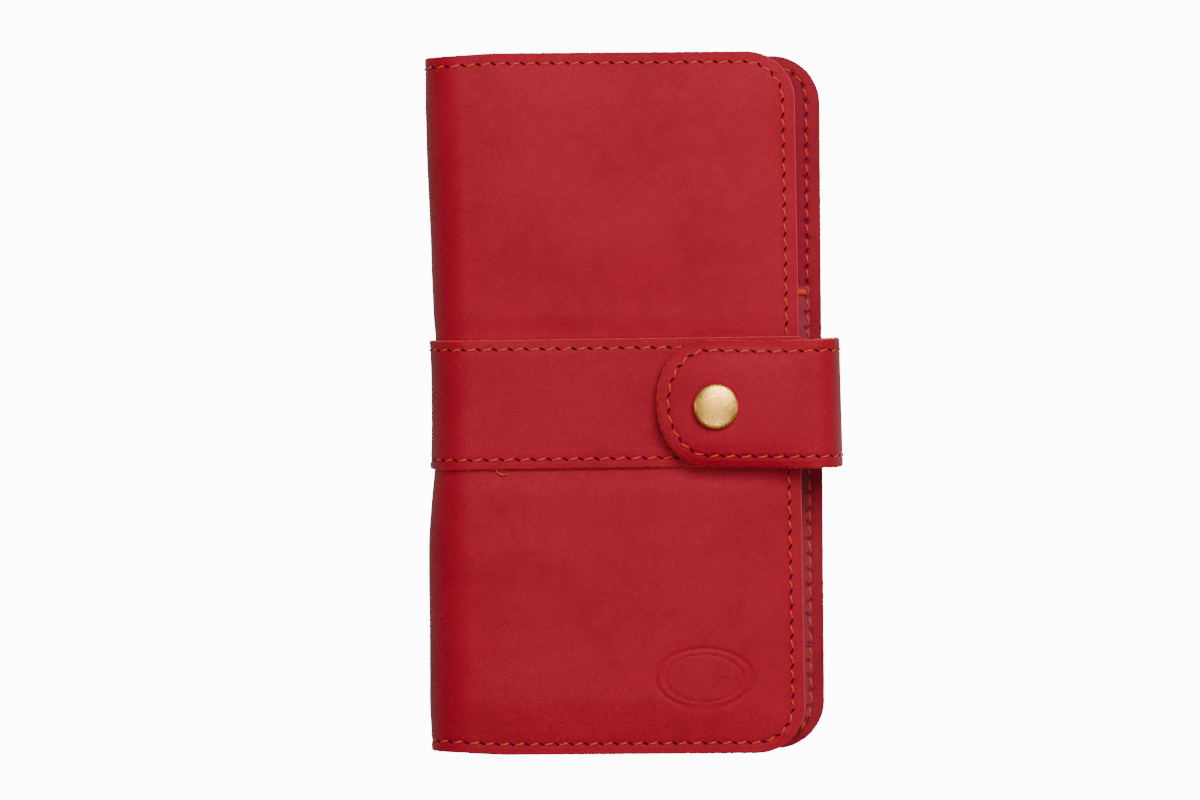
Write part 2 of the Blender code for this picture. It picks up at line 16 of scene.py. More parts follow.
import bpy
import numpy as np
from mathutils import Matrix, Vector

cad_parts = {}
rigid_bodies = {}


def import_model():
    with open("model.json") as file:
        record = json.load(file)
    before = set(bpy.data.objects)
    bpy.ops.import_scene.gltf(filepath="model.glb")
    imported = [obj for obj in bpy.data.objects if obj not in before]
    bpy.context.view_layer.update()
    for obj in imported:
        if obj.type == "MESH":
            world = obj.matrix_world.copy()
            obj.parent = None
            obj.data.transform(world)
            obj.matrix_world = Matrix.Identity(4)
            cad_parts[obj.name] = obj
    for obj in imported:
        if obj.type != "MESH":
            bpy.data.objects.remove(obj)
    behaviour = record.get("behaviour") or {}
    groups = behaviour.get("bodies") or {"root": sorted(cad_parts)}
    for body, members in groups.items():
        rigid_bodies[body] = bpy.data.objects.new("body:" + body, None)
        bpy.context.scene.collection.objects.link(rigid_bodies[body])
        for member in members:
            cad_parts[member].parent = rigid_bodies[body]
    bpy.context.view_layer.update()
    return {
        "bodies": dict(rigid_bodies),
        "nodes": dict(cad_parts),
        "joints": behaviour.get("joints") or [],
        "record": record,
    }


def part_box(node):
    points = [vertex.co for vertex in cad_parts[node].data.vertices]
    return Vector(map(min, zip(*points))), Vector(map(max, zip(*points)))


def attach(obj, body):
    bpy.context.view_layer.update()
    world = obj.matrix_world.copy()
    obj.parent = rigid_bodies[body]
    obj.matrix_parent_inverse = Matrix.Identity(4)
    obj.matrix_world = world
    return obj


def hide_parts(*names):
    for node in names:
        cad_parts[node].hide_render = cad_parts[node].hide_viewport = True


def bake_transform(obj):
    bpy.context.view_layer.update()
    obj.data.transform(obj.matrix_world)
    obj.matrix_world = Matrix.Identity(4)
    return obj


MM = 0.001
FAR = 500.0
SHARP_ANGLE = math.radians(42)
UP = np.array([0.0, 0.0, 1.0])
WHITE = (1.0, 1.0, 1.0, 1.0)
log = logging.getLogger("wallet_case")

Array = np.ndarray
Pair = tuple[float, float]
Triple = tuple[float, float, float]
Object = bpy.types.Object
Material = bpy.types.Material
Node = bpy.types.Node
Socket = bpy.types.NodeSocket
Tree = bpy.types.NodeTree
Bend = Callable[[Object], None]
Relief = Callable[[Array, Array], Array]
Shift = Callable[[Array, Array, Array], Array]


# Small sums.


def smooth_step(value: Array, low: float, high: float) -> Array:
    """Rise smoothly from 0 at low to 1 at high."""
    t = np.clip((value - low) / (high - low), 0.0, 1.0)
    return t * t * (3.0 - 2.0 * t)


def hill(s: Array, y: Array, at: Pair, spread: Pair, turn: float = 0.0) -> Array:
    """A smooth oval hill of height 1.

    Args:
        s: Distances along the sheet.
        y: Distances across it.
        at: The hill's top, as (s, y).
        spread: Its half widths.
        turn: How far the oval is turned, in degrees.

    Returns:
        The hill's height at each point.
    """
    c, n = math.cos(math.radians(turn)), math.sin(math.radians(turn))
    a = ((s - at[0]) * c + (y - at[1]) * n) / spread[0]
    b = ((y - at[1]) * c - (s - at[0]) * n) / spread[1]
    return np.exp(-(a * a + b * b))


def ripple(s: Array, y: Array, seed: int, scale: float) -> Array:
    """Gentle unevenness of height about 1, as a sum of waves with fixed random directions.

    Args:
        s: Distances along the sheet.
        y: Distances across it.
        seed: Which waves to draw.
        scale: The typical wavelength.

    Returns:
        The height at each point.
    """
    rng = np.random.default_rng(seed)
    waves = 7
    total = np.zeros_like(s)
    for _ in range(waves):
        angle, phase = rng.uniform(0.0, 2.0 * math.pi, 2)
        length = scale * rng.uniform(0.7, 1.8)
        ahead = (s * math.cos(angle) + y * math.sin(angle)) / length
        total += np.sin(2.0 * math.pi * ahead + phase)
    return total / math.sqrt(waves)


def unit(vectors: Array) -> Array:
    """Vectors of length 1."""
    return vectors / np.maximum(np.linalg.norm(vectors, axis=-1, keepdims=True), 1e-9)


def between(at: Array, lengths: Array, pairs: Array) -> Array:
    """Pairs read between the given ones, at distances along a path."""
    return np.stack([np.interp(at, lengths, pairs[:, part]) for part in (0, 1)], axis=-1)


def travelled(points: Array) -> Array:
    """How far along a path each of its points is."""
    steps = np.linalg.norm(np.diff(points, axis=0), axis=1)
    return np.concatenate([[0.0], np.cumsum(steps)])


def spaced(low: float, high: float, step: float, fine: Sequence[Triple] = ()) -> Array:
    """Numbers from low to high, closer together in the fine stretches.

    Args:
        low: The first number.
        high: The last.
        step: The usual distance between two numbers.
        fine: Stretches as (low, high, step).

    Returns:
        The numbers, rising.
    """
    marks = sorted({low, high, *(np.clip(edge, low, high) for part in fine for edge in part[:2])})
    parts = [np.array([low])]
    for first, last in zip(marks[:-1], marks[1:]):
        middle = (first + last) / 2
        near = min([step, *(part[2] for part in fine if part[0] <= middle <= part[1])])
        count = max(1, int(round((last - first) / near)))
        parts.append(np.linspace(first, last, count + 1)[1:])
    return np.concatenate(parts)


# Meshes.


def new_mesh(
    name: str, vertices: Array, faces: Sequence[Any], materials: Sequence[Material],
    kinds: Optional[Array] = None,
) -> Object:
    """A smooth mesh object in the scene.

    Args:
        name: The piece's name.
        vertices: Points in millimetres.
        faces: Vertex numbers of each face.
        materials: The materials that kinds counts in.
        kinds: Which material each face has.

    Returns:
        The new object.
    """
    data = bpy.data.meshes.new(name)
    faces = faces.tolist() if isinstance(faces, np.ndarray) else list(faces)
    data.from_pydata((np.asarray(vertices) * MM).tolist(), [], faces)
    for material in materials:
        data.materials.append(material)
    if kinds is not None:
        data.polygons.foreach_set("material_index", np.asarray(kinds, dtype=np.int32))
    data.polygons.foreach_set("use_smooth", np.ones(len(data.polygons), dtype=bool))
    data.set_sharp_from_angle(angle=SHARP_ANGLE)
    data.update()
    made = bpy.data.objects.new(name, data)
    bpy.context.scene.collection.objects.link(made)
    return made


def store(made: Object, name: str, values: Array) -> None:
    """Keep a vector for each vertex of an object."""
    attribute = made.data.attributes.new(name, "FLOAT_VECTOR", "POINT")
    attribute.data.foreach_set("vector", np.asarray(values, dtype=np.float32).reshape(-1))


def ring_walls(number: Array) -> Array:
    """Quads between neighbouring rings of vertex numbers."""
    corners = [number[:-1], number[1:], np.roll(number[1:], -1, 1), np.roll(number[:-1], -1, 1)]
    return np.stack(corners, axis=-1).reshape(-1, 4)


def tubes(
    paths: Array, radii: Array, up: Array, lobes: float = 0.0, sides: int = 8
) -> tuple[Array, list[list[int]]]:
    """Closed tubes along many paths at once.

    Args:
        paths: Points as (tube, step, 3).
        radii: Radius at each point, as (tube, step).
        up: A direction across each path, as (tube, step, 3).
        lobes: How deep the grooves between the twisted strands are, as a share of the radius.
        sides: Points round a tube.

    Returns:
        The vertices and the faces.
    """
    count, steps = paths.shape[:2]
    ahead = unit(np.gradient(paths, axis=1))
    across = unit(np.cross(ahead, up))
    over = unit(np.cross(across, ahead))
    turn = np.linspace(0.0, 2.0 * math.pi, sides, endpoint=False)
    twist = np.linspace(0.0, 3.0 * math.pi, steps)[None, :, None]
    swell = 1.0 + lobes * np.cos(2.0 * (turn[None, None, :] - twist))
    reach = (radii[:, :, None] * swell)[..., None]
    ring = across[:, :, None, :] * np.cos(turn)[None, None, :, None]
    ring = ring + over[:, :, None, :] * np.sin(turn)[None, None, :, None]
    points = paths[:, :, None, :] + ring * reach
    number = np.arange(count * steps * sides).reshape(count, steps, sides)
    here, there = number[:, :-1, :], number[:, 1:, :]
    corners = [here, np.roll(here, -1, 2), np.roll(there, -1, 2), there]
    walls = np.stack(corners, axis=-1).reshape(-1, 4)
    vertices = points.reshape(-1, 3)
    tips = np.concatenate([paths[:, 0], paths[:, -1]])
    first = len(vertices)
    start = np.arange(count) + first
    end = start + count
    low, high = number[:, 0, :], number[:, -1, :]
    hubs = [np.repeat(tip[:, None], sides, 1) for tip in (start, end)]
    start_faces = np.stack([hubs[0], np.roll(low, -1, 1), low], axis=-1)
    end_faces = np.stack([hubs[1], high, np.roll(high, -1, 1)], axis=-1)
    ends = np.concatenate([start_faces.reshape(-1, 3), end_faces.reshape(-1, 3)])
    return np.concatenate([vertices, tips]), walls.tolist() + ends.tolist()


def turned(name: str, profile: Sequence[Pair], centre: Pair, material: Material) -> Object:
    """A turned piece.

    Args:
        name: The piece's name.
        profile: Points as (radius, z), from the top on the axis to the bottom on the axis.
        centre: The axis, as (x, y).
        material: Its finish.

    Returns:
        The new object.
    """
    sides = 96
    turn = np.linspace(0.0, 2.0 * math.pi, sides, endpoint=False)
    rings = np.array(profile[1:-1])
    x = centre[0] + rings[:, :1] * np.cos(turn)
    y = centre[1] + rings[:, :1] * np.sin(turn)
    z = np.repeat(rings[:, 1:], sides, axis=1)
    vertices = np.stack([x, y, z], axis=-1).reshape(-1, 3)
    ends = np.array([[*centre, profile[0][1]], [*centre, profile[-1][1]]])
    number = np.arange(len(rings) * sides).reshape(len(rings), sides)
    walls = ring_walls(number)
    top, bottom = len(vertices), len(vertices) + 1
    caps = [[top, int(a), int(b)] for a, b in zip(number[0], np.roll(number[0], -1))]
    caps += [[bottom, int(b), int(a)] for a, b in zip(number[-1], np.roll(number[-1], -1))]
    made = new_mesh(name, np.concatenate([vertices, ends]), walls.tolist() + caps, [material])
    plan = np.stack([x - centre[0], y - centre[1], z - profile[-1][1]], axis=-1).reshape(-1, 3)
    ends_plan = np.array([[0.0, 0.0, profile[0][1] - profile[-1][1]], [0.0, 0.0, 0.0]])
    store(made, "plan", np.concatenate([plan, ends_plan]))
    return made


# Profiles, seams and sheets.


class Profile:
    """A path in the XZ plane that the outer face of a sheet follows."""

    FINE = 0.1

    def __init__(self, start: Pair, outer_on_right: bool = False) -> None:
        """Begin a path at a point, with the outer side on its left hand or its right."""
        self.points: list[Pair] = [start]
        self.side = -1.0 if outer_on_right else 1.0

    def line(self, x: float, z: float) -> "Profile":
        """Run straight to a point.

        Args:
            x: The point's x.
            z: The point's z.

        Returns:
            The profile itself.
        """
        x0, z0 = self.points[-1]
        steps = max(2, int(math.hypot(x - x0, z - z0) / self.FINE))
        for step in range(1, steps + 1):
            t = step / steps
            self.points.append((x0 + (x - x0) * t, z0 + (z - z0) * t))
        return self

    def ease(self, x: float, z: float) -> "Profile":
        """Run level, then gently over to another height, and level again.

        Args:
            x: The x at which it is level again.
            z: The new height.

        Returns:
            The profile itself.
        """
        x0, z0 = self.points[-1]
        steps = max(4, int(abs(x - x0) / self.FINE))
        for step in range(1, steps + 1):
            t = step / steps
            self.points.append((x0 + (x - x0) * t, z0 + (z - z0) * t * t * (3.0 - 2.0 * t)))
        return self

    def arc(self, centre: Pair, radii: Pair, start: float, end: float) -> "Profile":
        """Follow an ellipse's arc between two angles in degrees.

        Args:
            centre: The ellipse's centre.
            radii: Its radii.
            start: The angle at which it starts.
            end: The angle at which it ends.

        Returns:
            The profile itself.
        """
        steps = max(4, int(math.radians(abs(end - start)) * max(radii) / self.FINE))
        for step in range(1, steps + 1):
            angle = math.radians(start + (end - start) * step / steps)
            point = (centre[0] + radii[0] * math.cos(angle), centre[1] + radii[1] * math.sin(angle))
            self.points.append(point)
        return self

    def shoulder(self, centre: Pair, radii: Pair, fullness: float) -> "Profile":
        """Turn a quarter, up and back, on a curve fuller than an ellipse.

        Args:
            centre: The centre of the turn.
            radii: Its reach in x and in z.
            fullness: How full it is, where 2 is an ellipse.

        Returns:
            The profile itself.
        """
        steps = int(2.0 * max(radii) / self.FINE)
        for step in range(1, steps + 1):
            angle = math.pi / 2.0 * step / steps
            across = math.cos(angle) ** (2.0 / fullness) if step < steps else 0.0
            up = math.sin(angle) ** (2.0 / fullness)
            self.points.append((centre[0] + radii[0] * across, centre[1] + radii[1] * up))
        return self

    def close(self) -> "Profile":
        """Measure the path once it is whole.

        Returns:
            The profile itself.
        """
        self.path = np.array(self.points)
        self.lengths = travelled(self.path)
        ahead = unit(np.gradient(self.path, axis=0))
        self.normals = np.stack([-ahead[:, 1], ahead[:, 0]], axis=1) * self.side
        return self

    @property
    def length(self) -> float:
        """Length of the whole path."""
        return float(self.lengths[-1])

    def at(self, s: Array) -> tuple[Array, Array]:
        """Points and outward normals, as (x, z), at distances along the path."""
        return between(s, self.lengths, self.path), unit(between(s, self.lengths, self.normals))


@dataclass
class Seam:
    """A row of stitches on a sheet, along (s, y) points with the sheet's edge on its left."""

    path: Array
    pitch: float = 4.4
    share: float = 0.60
    lean: float = 0.34
    thread: float = 0.245
    groove: float = 0.16
    seed: int = 1
    SPACING: ClassVar[float] = 0.4
    BLOCK: ClassVar[int] = 4000

    def __post_init__(self) -> None:
        """Space the path evenly and measure it."""
        lengths = travelled(self.path)
        self.along = np.linspace(0.0, lengths[-1], max(3, int(lengths[-1] / self.SPACING)))
        self.points = between(self.along, lengths, self.path)
        ahead = unit(np.gradient(self.points, axis=0))
        self.outward = np.stack([-ahead[:, 1], ahead[:, 0]], axis=1)

    def place(self, along: Array, offset: Array) -> Array:
        """Points on the sheet at distances along the seam and out from it."""
        out = unit(between(along, self.along, self.outward))
        return between(along, self.along, self.points) + out * offset[..., None]

    def locate(self, points: Array) -> tuple[Array, Array, Array]:
        """Find points of the sheet from the seam.

        Args:
            points: Points as (s, y).

        Returns:
            The distance along the seam, the distance out from it, and the plain distance to it.
        """
        along, offset, distance = (np.empty(len(points)) for _ in range(3))
        for first in range(0, len(points), self.BLOCK):
            part = points[first:first + self.BLOCK]
            gap = part[:, None, :] - self.points[None, :, :]
            square = np.einsum("ijk,ijk->ij", gap, gap)
            nearest = np.argmin(square, axis=1)
            numbers = np.arange(len(part))
            away, out = gap[numbers, nearest], self.outward[nearest]
            forward = np.stack([out[:, 1], -out[:, 0]], axis=1)
            here = slice(first, first + self.BLOCK)
            along[here] = self.along[nearest] + np.einsum("ij,ij->i", away, forward)
            offset[here] = np.einsum("ij,ij->i", away, out)
            distance[here] = np.sqrt(square[numbers, nearest])
        return along, offset, distance


def bend_points(centre: Pair, radii: Pair, start: float, end: float) -> list[Pair]:
    """Points round an ellipse's arc between two angles in degrees."""
    angles = np.radians(np.linspace(start, end, 40))
    (x, y), (rx, ry) = centre, radii
    return [(x + rx * math.cos(angle), y + ry * math.sin(angle)) for angle in angles]


def round_path(start: float, end: float, low: float, high: float, radii: Pair) -> Array:
    """A path out along a sheet's high edge, round its far end and back along its low edge.

    Args:
        start: Where along the sheet it starts and ends.
        end: How far along it reaches.
        low: The low run's y.
        high: The high run's y.
        radii: The radii of its two corners.

    Returns:
        The (s, y) points.
    """
    rx, ry = radii
    points = [(start, high)]
    points += bend_points((end - rx, high - ry), radii, 90, 0)
    points += bend_points((end - rx, low + ry), radii, 0, -90)
    points.append((start, low))
    return np.array(points)


def pocket_path(start: float, end: float, low: float, mouth: float, radius: float) -> Array:
    """A path down a pocket's far side from its mouth, along its bottom and up its near side.

    Args:
        start: The near side's s.
        end: The far side's s.
        low: The bottom's y.
        mouth: The mouth's y.
        radius: The radius of the far corner.

    Returns:
        The (s, y) points.
    """
    points = [(end, mouth)]
    points += bend_points((end - radius, low + radius), (radius, radius), 0, -90)
    points += [(start, low), (start, mouth)]
    return np.array(points)


def flat(s: Array, y: Array) -> Array:
    """A relief with no height."""
    return np.zeros_like(s)


@dataclass
class Sheet:
    """A ply of leather on a bent profile, which may have round corners at its far end.

    `relief` raises the outer face and `shift` moves points sideways. A joined end is left square,
    because another sheet carries on from it.
    """

    name: str
    profile: Profile
    start: float
    end: float
    low: float
    high: float
    thickness: float
    corner_low: Pair = (0.0, 0.0)
    corner_high: Pair = (0.0, 0.0)
    relief: Relief = flat
    shift: Optional[Shift] = None
    seams: Sequence[Seam] = ()
    step: float = 1.1
    fine_s: Sequence[Triple] = ()
    fine_y: Sequence[Triple] = ()
    joined_start: bool = True
    joined_end: bool = False
    lean: float = 0.42
    rough: float = 0.03
    GROOVE: ClassVar[Pair] = (0.62, 0.45)
    HOLE_DEPTH: ClassVar[float] = 0.55
    TUFTS: ClassVar[int] = 6

    @property
    def last(self) -> float:
        """How far along the grid reaches, before the cut edge leans out."""
        return self.end if self.joined_end else self.end - self.lean

    def rows(self) -> Array:
        """The y of each row of the grid, closer together where a corner is round.

        Returns:
            The rows, rising.
        """
        low, high = self.low + self.lean, self.high - self.lean
        first, last = low, high
        head = tail = np.zeros(0)
        if self.corner_low[1] > 0.0:
            span = self.corner_low[1] - self.lean
            count = max(8, int(span / self.step * 2.0))
            head = low + span * (1.0 - np.cos(np.linspace(0.0, math.pi / 2, count)))[:-1]
            first = low + span
        if self.corner_high[1] > 0.0:
            span = self.corner_high[1] - self.lean
            count = max(8, int(span / self.step * 2.0))
            tail = high - span * (1.0 - np.cos(np.linspace(math.pi / 2, 0.0, count)))[1:]
            last = high - span
        middle = spaced(first, max(last, first + 1e-3), self.step, self.fine_y)
        return np.concatenate([head, middle, tail])

    def grid(self) -> tuple[Array, Array]:
        """The (s, y) of every point of the outer face.

        Returns:
            The s and the y of each point, as (row, column).
        """
        y = self.rows()
        corner = max(self.corner_low[0], self.corner_high[0])
        fixed = max(self.start + (self.last - self.start) * 0.3, self.last - corner - 6.0)
        base = np.unique(np.append(spaced(self.start, self.last, self.step, self.fine_s), fixed))
        reach = np.full_like(y, self.last)
        from_low, from_high = y - self.low - self.lean, self.high - self.lean - y
        for (rx, ry), depth in ((self.corner_low, from_low), (self.corner_high, from_high)):
            if ry > 0.0:
                t = np.clip(1.0 - depth / (ry - self.lean), 0.0, 1.0)
                cut = (rx - self.lean) * (1.0 - np.sqrt(1.0 - t * t))
                reach = np.minimum(reach, self.last - cut)
        share = np.clip((base[None, :] - fixed) / (self.last - fixed), 0.0, 1.0)
        s = np.minimum(base[None, :], fixed) + share * (reach[:, None] - fixed)
        return s, np.broadcast_to(y[:, None], s.shape).copy()

    def at(self, s: Array, y: Array) -> Array:
        """Points on the outer face, without the seams' grooves.

        Args:
            s: Distances along the sheet.
            y: Distances across it.

        Returns:
            The points.
        """
        point, normal = self.profile.at(s)
        lifted = point + normal * self.relief(s, y)[..., None]
        made = np.stack([lifted[..., 0], y, lifted[..., 1]], axis=-1)
        return made if self.shift is None else made + self.shift(s, y, normal)

    def surface(self, s: Array, y: Array) -> tuple[Array, Array]:
        """Points on the outer face and its outward normals.

        Args:
            s: Distances along the sheet.
            y: Distances across it.

        Returns:
            The points and their normals.
        """
        small = 0.2
        along = self.at(s + small, y) - self.at(np.maximum(s - small, 0.0), y)
        across = self.at(s, y + small) - self.at(s, y - small)
        normal = unit(np.cross(along, across))
        _, out = self.profile.at(s)
        side = np.sign(normal[..., 0] * out[..., 0] + normal[..., 2] * out[..., 1])
        return self.at(s, y), normal * side[..., None]

    def groove(self, along: Array, offset: Array, seam: Seam) -> Array:
        """How far a seam pulls the face down, and how the hide swells between its holes.

        Args:
            along: Distances along the seam.
            offset: Distances out from it.
            seam: The seam.

        Returns:
            The height at each point.
        """
        turn, (channel_width, swell_width) = along / seam.pitch, self.GROOVE
        pinch = 0.5 - 0.5 * np.cos(2.0 * math.pi * (turn - seam.share / 2 - 0.5))
        channel = -seam.groove * (0.7 + 0.6 * pinch) * np.exp(-(offset / channel_width) ** 2)
        swell = np.exp(-((np.abs(offset) - 1.15) / swell_width) ** 2)
        return channel + 0.35 * seam.groove * pinch * swell

    def build(self, materials: Sequence[Material]) -> Object:
        """Make the ply as one closed mesh.

        Args:
            materials: The outer face's, the cut edge's and the inner face's materials.

        Returns:
            The new object.
        """
        s, y = self.grid()
        rows, columns = s.shape
        face, normal = self.surface(s, y)
        face, normal = face.reshape(-1, 3), normal.reshape(-1, 3)
        plan = np.stack([s.reshape(-1), y.reshape(-1)], axis=1)
        seam_row = self.seam_row(plan)
        face = face + normal * seam_row[:, 3:4]
        number = np.arange(rows * columns).reshape(rows, columns)
        border = [number[0, :-1], number[:-1, -1], number[-1, :0:-1], number[:0:-1, 0]]
        ring = np.concatenate(border)
        facing = np.cross(face[number[0, 1]] - face[0], face[number[1, 0]] - face[0])
        hand = 1.0 if float(facing @ normal[0]) > 0.0 else -1.0
        ahead = unit(np.roll(face[ring], -1, axis=0) - np.roll(face[ring], 1, axis=0))
        outward = unit(np.cross(ahead, normal[ring])) * hand
        outward = self.square_joins(outward, face, number, ring)
        rough = 1.0 + self.rough / self.lean * ripple(*(plan[ring].T * 2.3), 11, 4.0)
        thick = self.thickness
        loops = (
            (0.22, 0.03, 0), (0.42, 0.11, 0), (0.88, min(0.40, thick * 0.4), 1),
            (1.0, thick * 0.62, 1), (0.92, thick * 0.90, 1), (0.72, thick, 1),
        )
        points, plans, faces, kinds = [face], [seam_row[:, :3]], [], []

        def skin(corners: Sequence[Array], kind: int) -> None:
            """Add quads, wound so that they face out."""
            turned_round = corners if hand > 0.0 else corners[::-1]
            made = np.stack(turned_round, axis=-1).reshape(-1, 4)
            faces.append(made)
            kinds.append(np.full(len(made), kind))

        skin((number[:-1, :-1], number[:-1, 1:], number[1:, 1:], number[1:, :-1]), 0)
        previous, total = ring, len(face)
        for out, down, kind in loops:
            reach = (out * self.lean * rough)[:, None]
            points.append(face[ring] + outward * reach - normal[ring] * down)
            plans.append(seam_row[ring, :3])
            current = np.arange(total, total + len(ring))
            total += len(ring)
            skin((previous, current, np.roll(current, -1), np.roll(previous, -1)), kind)
            previous = current
        inner = np.ones(rows * columns, bool)
        inner[ring] = False
        under = np.empty(rows * columns, int)
        under[inner] = np.arange(total, total + inner.sum())
        under[ring] = previous
        points.append((face - normal * thick)[inner])
        plans.append(seam_row[inner, :3])
        below = under.reshape(rows, columns)
        skin((below[1:, :-1], below[1:, 1:], below[:-1, 1:], below[:-1, :-1]), 2)
        made = new_mesh(
            self.name, np.concatenate(points), np.concatenate(faces), materials,
            np.concatenate(kinds),
        )
        flat_plan = np.concatenate([plan] + [plan[ring]] * len(loops) + [plan[inner]])
        store(made, "plan", np.column_stack([flat_plan, np.zeros(len(flat_plan))]))
        store(made, "seam", np.concatenate(plans))
        return made

    def lay(self, materials: Sequence[Material], held: str, rests_on: str) -> Object:
        """Args:
            materials: The outer face's, the cut edge's and the inner face's materials.
            held: Not used.
            rests_on: Not used.

        Returns:
            The new object.
        """
        made = self.build(materials)
        return made

    def square_joins(self, outward: Array, face: Array, number: Array, ring: Array) -> Array:
        """Keep a joined end from leaning out along the sheet.

        Args:
            outward: The way out at each point of the border.
            face: The outer face's points.
            number: Their numbers, as (row, column).
            ring: The numbers of the border's points.

        Returns:
            The way out, made square at each joined end.
        """
        column, row = ring % number.shape[1], ring // number.shape[1]
        for joined, place in ((self.joined_start, 0), (self.joined_end, number.shape[1] - 1)):
            if joined:
                across = unit(face[number[-1, place]] - face[number[0, place]])
                outward[column == place] = 0.0
                outward[(column == place) & (row == 0)] = -across
                outward[(column == place) & (row == number.shape[0] - 1)] = across
        return outward

    def seam_row(self, plan: Array) -> Array:
        """Where each point lies on the nearest seam.

        Args:
            plan: Points as (s, y).

        Returns:
            Rows of stitch number, offset leaning as the stitches lean, offset outward, and height.
        """
        found = np.zeros((len(plan), 4))
        found[:, 1:3] = FAR
        nearest = np.full(len(plan), FAR)
        for seam in self.seams:
            along, offset, distance = seam.locate(plan)
            here = distance < nearest
            found[here, 0] = along[here] / seam.pitch
            found[here, 1] = offset[here] * math.copysign(1.0, seam.lean)
            found[here, 2] = offset[here]
            nearest[here] = distance[here]
            inside = np.abs(distance - np.abs(offset)) < 0.5
            found[:, 3] += np.where(inside, self.groove(along, offset, seam), 0.0)
            found[here & ~inside, 1] = FAR
        return found

    def stitches(self, name: str, material: Material, seam: Seam) -> Object:
        """The thread that shows on the outer face, as one twisted tube a stitch.

        Args:
            name: The piece's name.
            material: The thread's finish.
            seam: The row to sew.

        Returns:
            The new object.
        """
        rng = np.random.default_rng(seam.seed)
        count = int(seam.along[-1] / seam.pitch)
        t = np.linspace(0.0, 1.0, 13)[None, :]
        length = seam.pitch * seam.share * rng.uniform(0.96, 1.08, (count, 1))
        start = np.arange(count)[:, None] * seam.pitch + rng.uniform(-0.08, 0.08, (count, 1))
        along = start + length * t
        offset = seam.lean * (2.0 * t - 1.0) * rng.uniform(0.85, 1.15, (count, 1))
        place = seam.place(along, offset)
        face, normal = self.surface(place[..., 0], place[..., 1])
        arch = np.sin(math.pi * t) ** 0.6
        rise = self.HOLE_DEPTH + seam.thread * rng.uniform(0.35, 0.6, (count, 1))
        lift = -self.HOLE_DEPTH + arch * rise - seam.groove * 0.5
        radii = seam.thread * (0.72 + 0.28 * arch) * np.ones((count, 1))
        paths = face + normal * lift[..., None]
        vertices, faces = tubes(paths, radii, normal, lobes=0.13, sides=10)
        return new_mesh(name, vertices, faces, [material])

    def tufts(self, name: str, material: Material, seam: Seam) -> Object:
        """Fibres that the awl pulled up on both sides of each hole.

        Args:
            name: The piece's name.
            material: The fibres' finish.
            seam: The row of holes.

        Returns:
            The new object.
        """
        rng = np.random.default_rng(seam.seed + 100)
        holes = np.arange(int(seam.along[-1] / seam.pitch)) * seam.pitch
        along = np.repeat(holes + seam.pitch * (1.0 + seam.share) / 2.0, self.TUFTS)
        count = len(along)
        along = along + rng.normal(0.0, 0.35, count)
        side = rng.choice([-1.0, 1.0], count)
        length = rng.uniform(0.55, 1.35, count)
        t = np.linspace(0.0, 1.0, 6)[None, :]
        drift = (rng.uniform(-0.7, 0.7, count) * length)[:, None] * t
        offset = (side * 0.12)[:, None] + (side * length)[:, None] * t
        place = seam.place(along[:, None] + drift, offset)
        face, normal = self.surface(place[..., 0], place[..., 1])
        lift = rng.uniform(0.04, 0.22, (count, 1)) * np.sin(math.pi * t * 0.9)
        radii = rng.uniform(0.12, 0.19, (count, 1)) * (1.0 - 0.75 * t)
        vertices, faces = tubes(face + normal * lift[..., None], radii, normal, sides=6)
        made = new_mesh(name, vertices, faces, [material])
        store(made, "plan", vertices)
        return made


# Finishes.


class Slot(Enum):
    """The record's material slots."""

    LEATHER = "red_leather"
    RAW = "raw_leather"
    LINING = "lining_leather"
    BOARD = "board"
    THREAD = "thread"
    BRASS = "antique_brass"
    STEEL = "spring_steel"


class Mouth(Enum):
    """Which side of a pocket is open."""

    TOP = "top"
    SPINE = "spine"


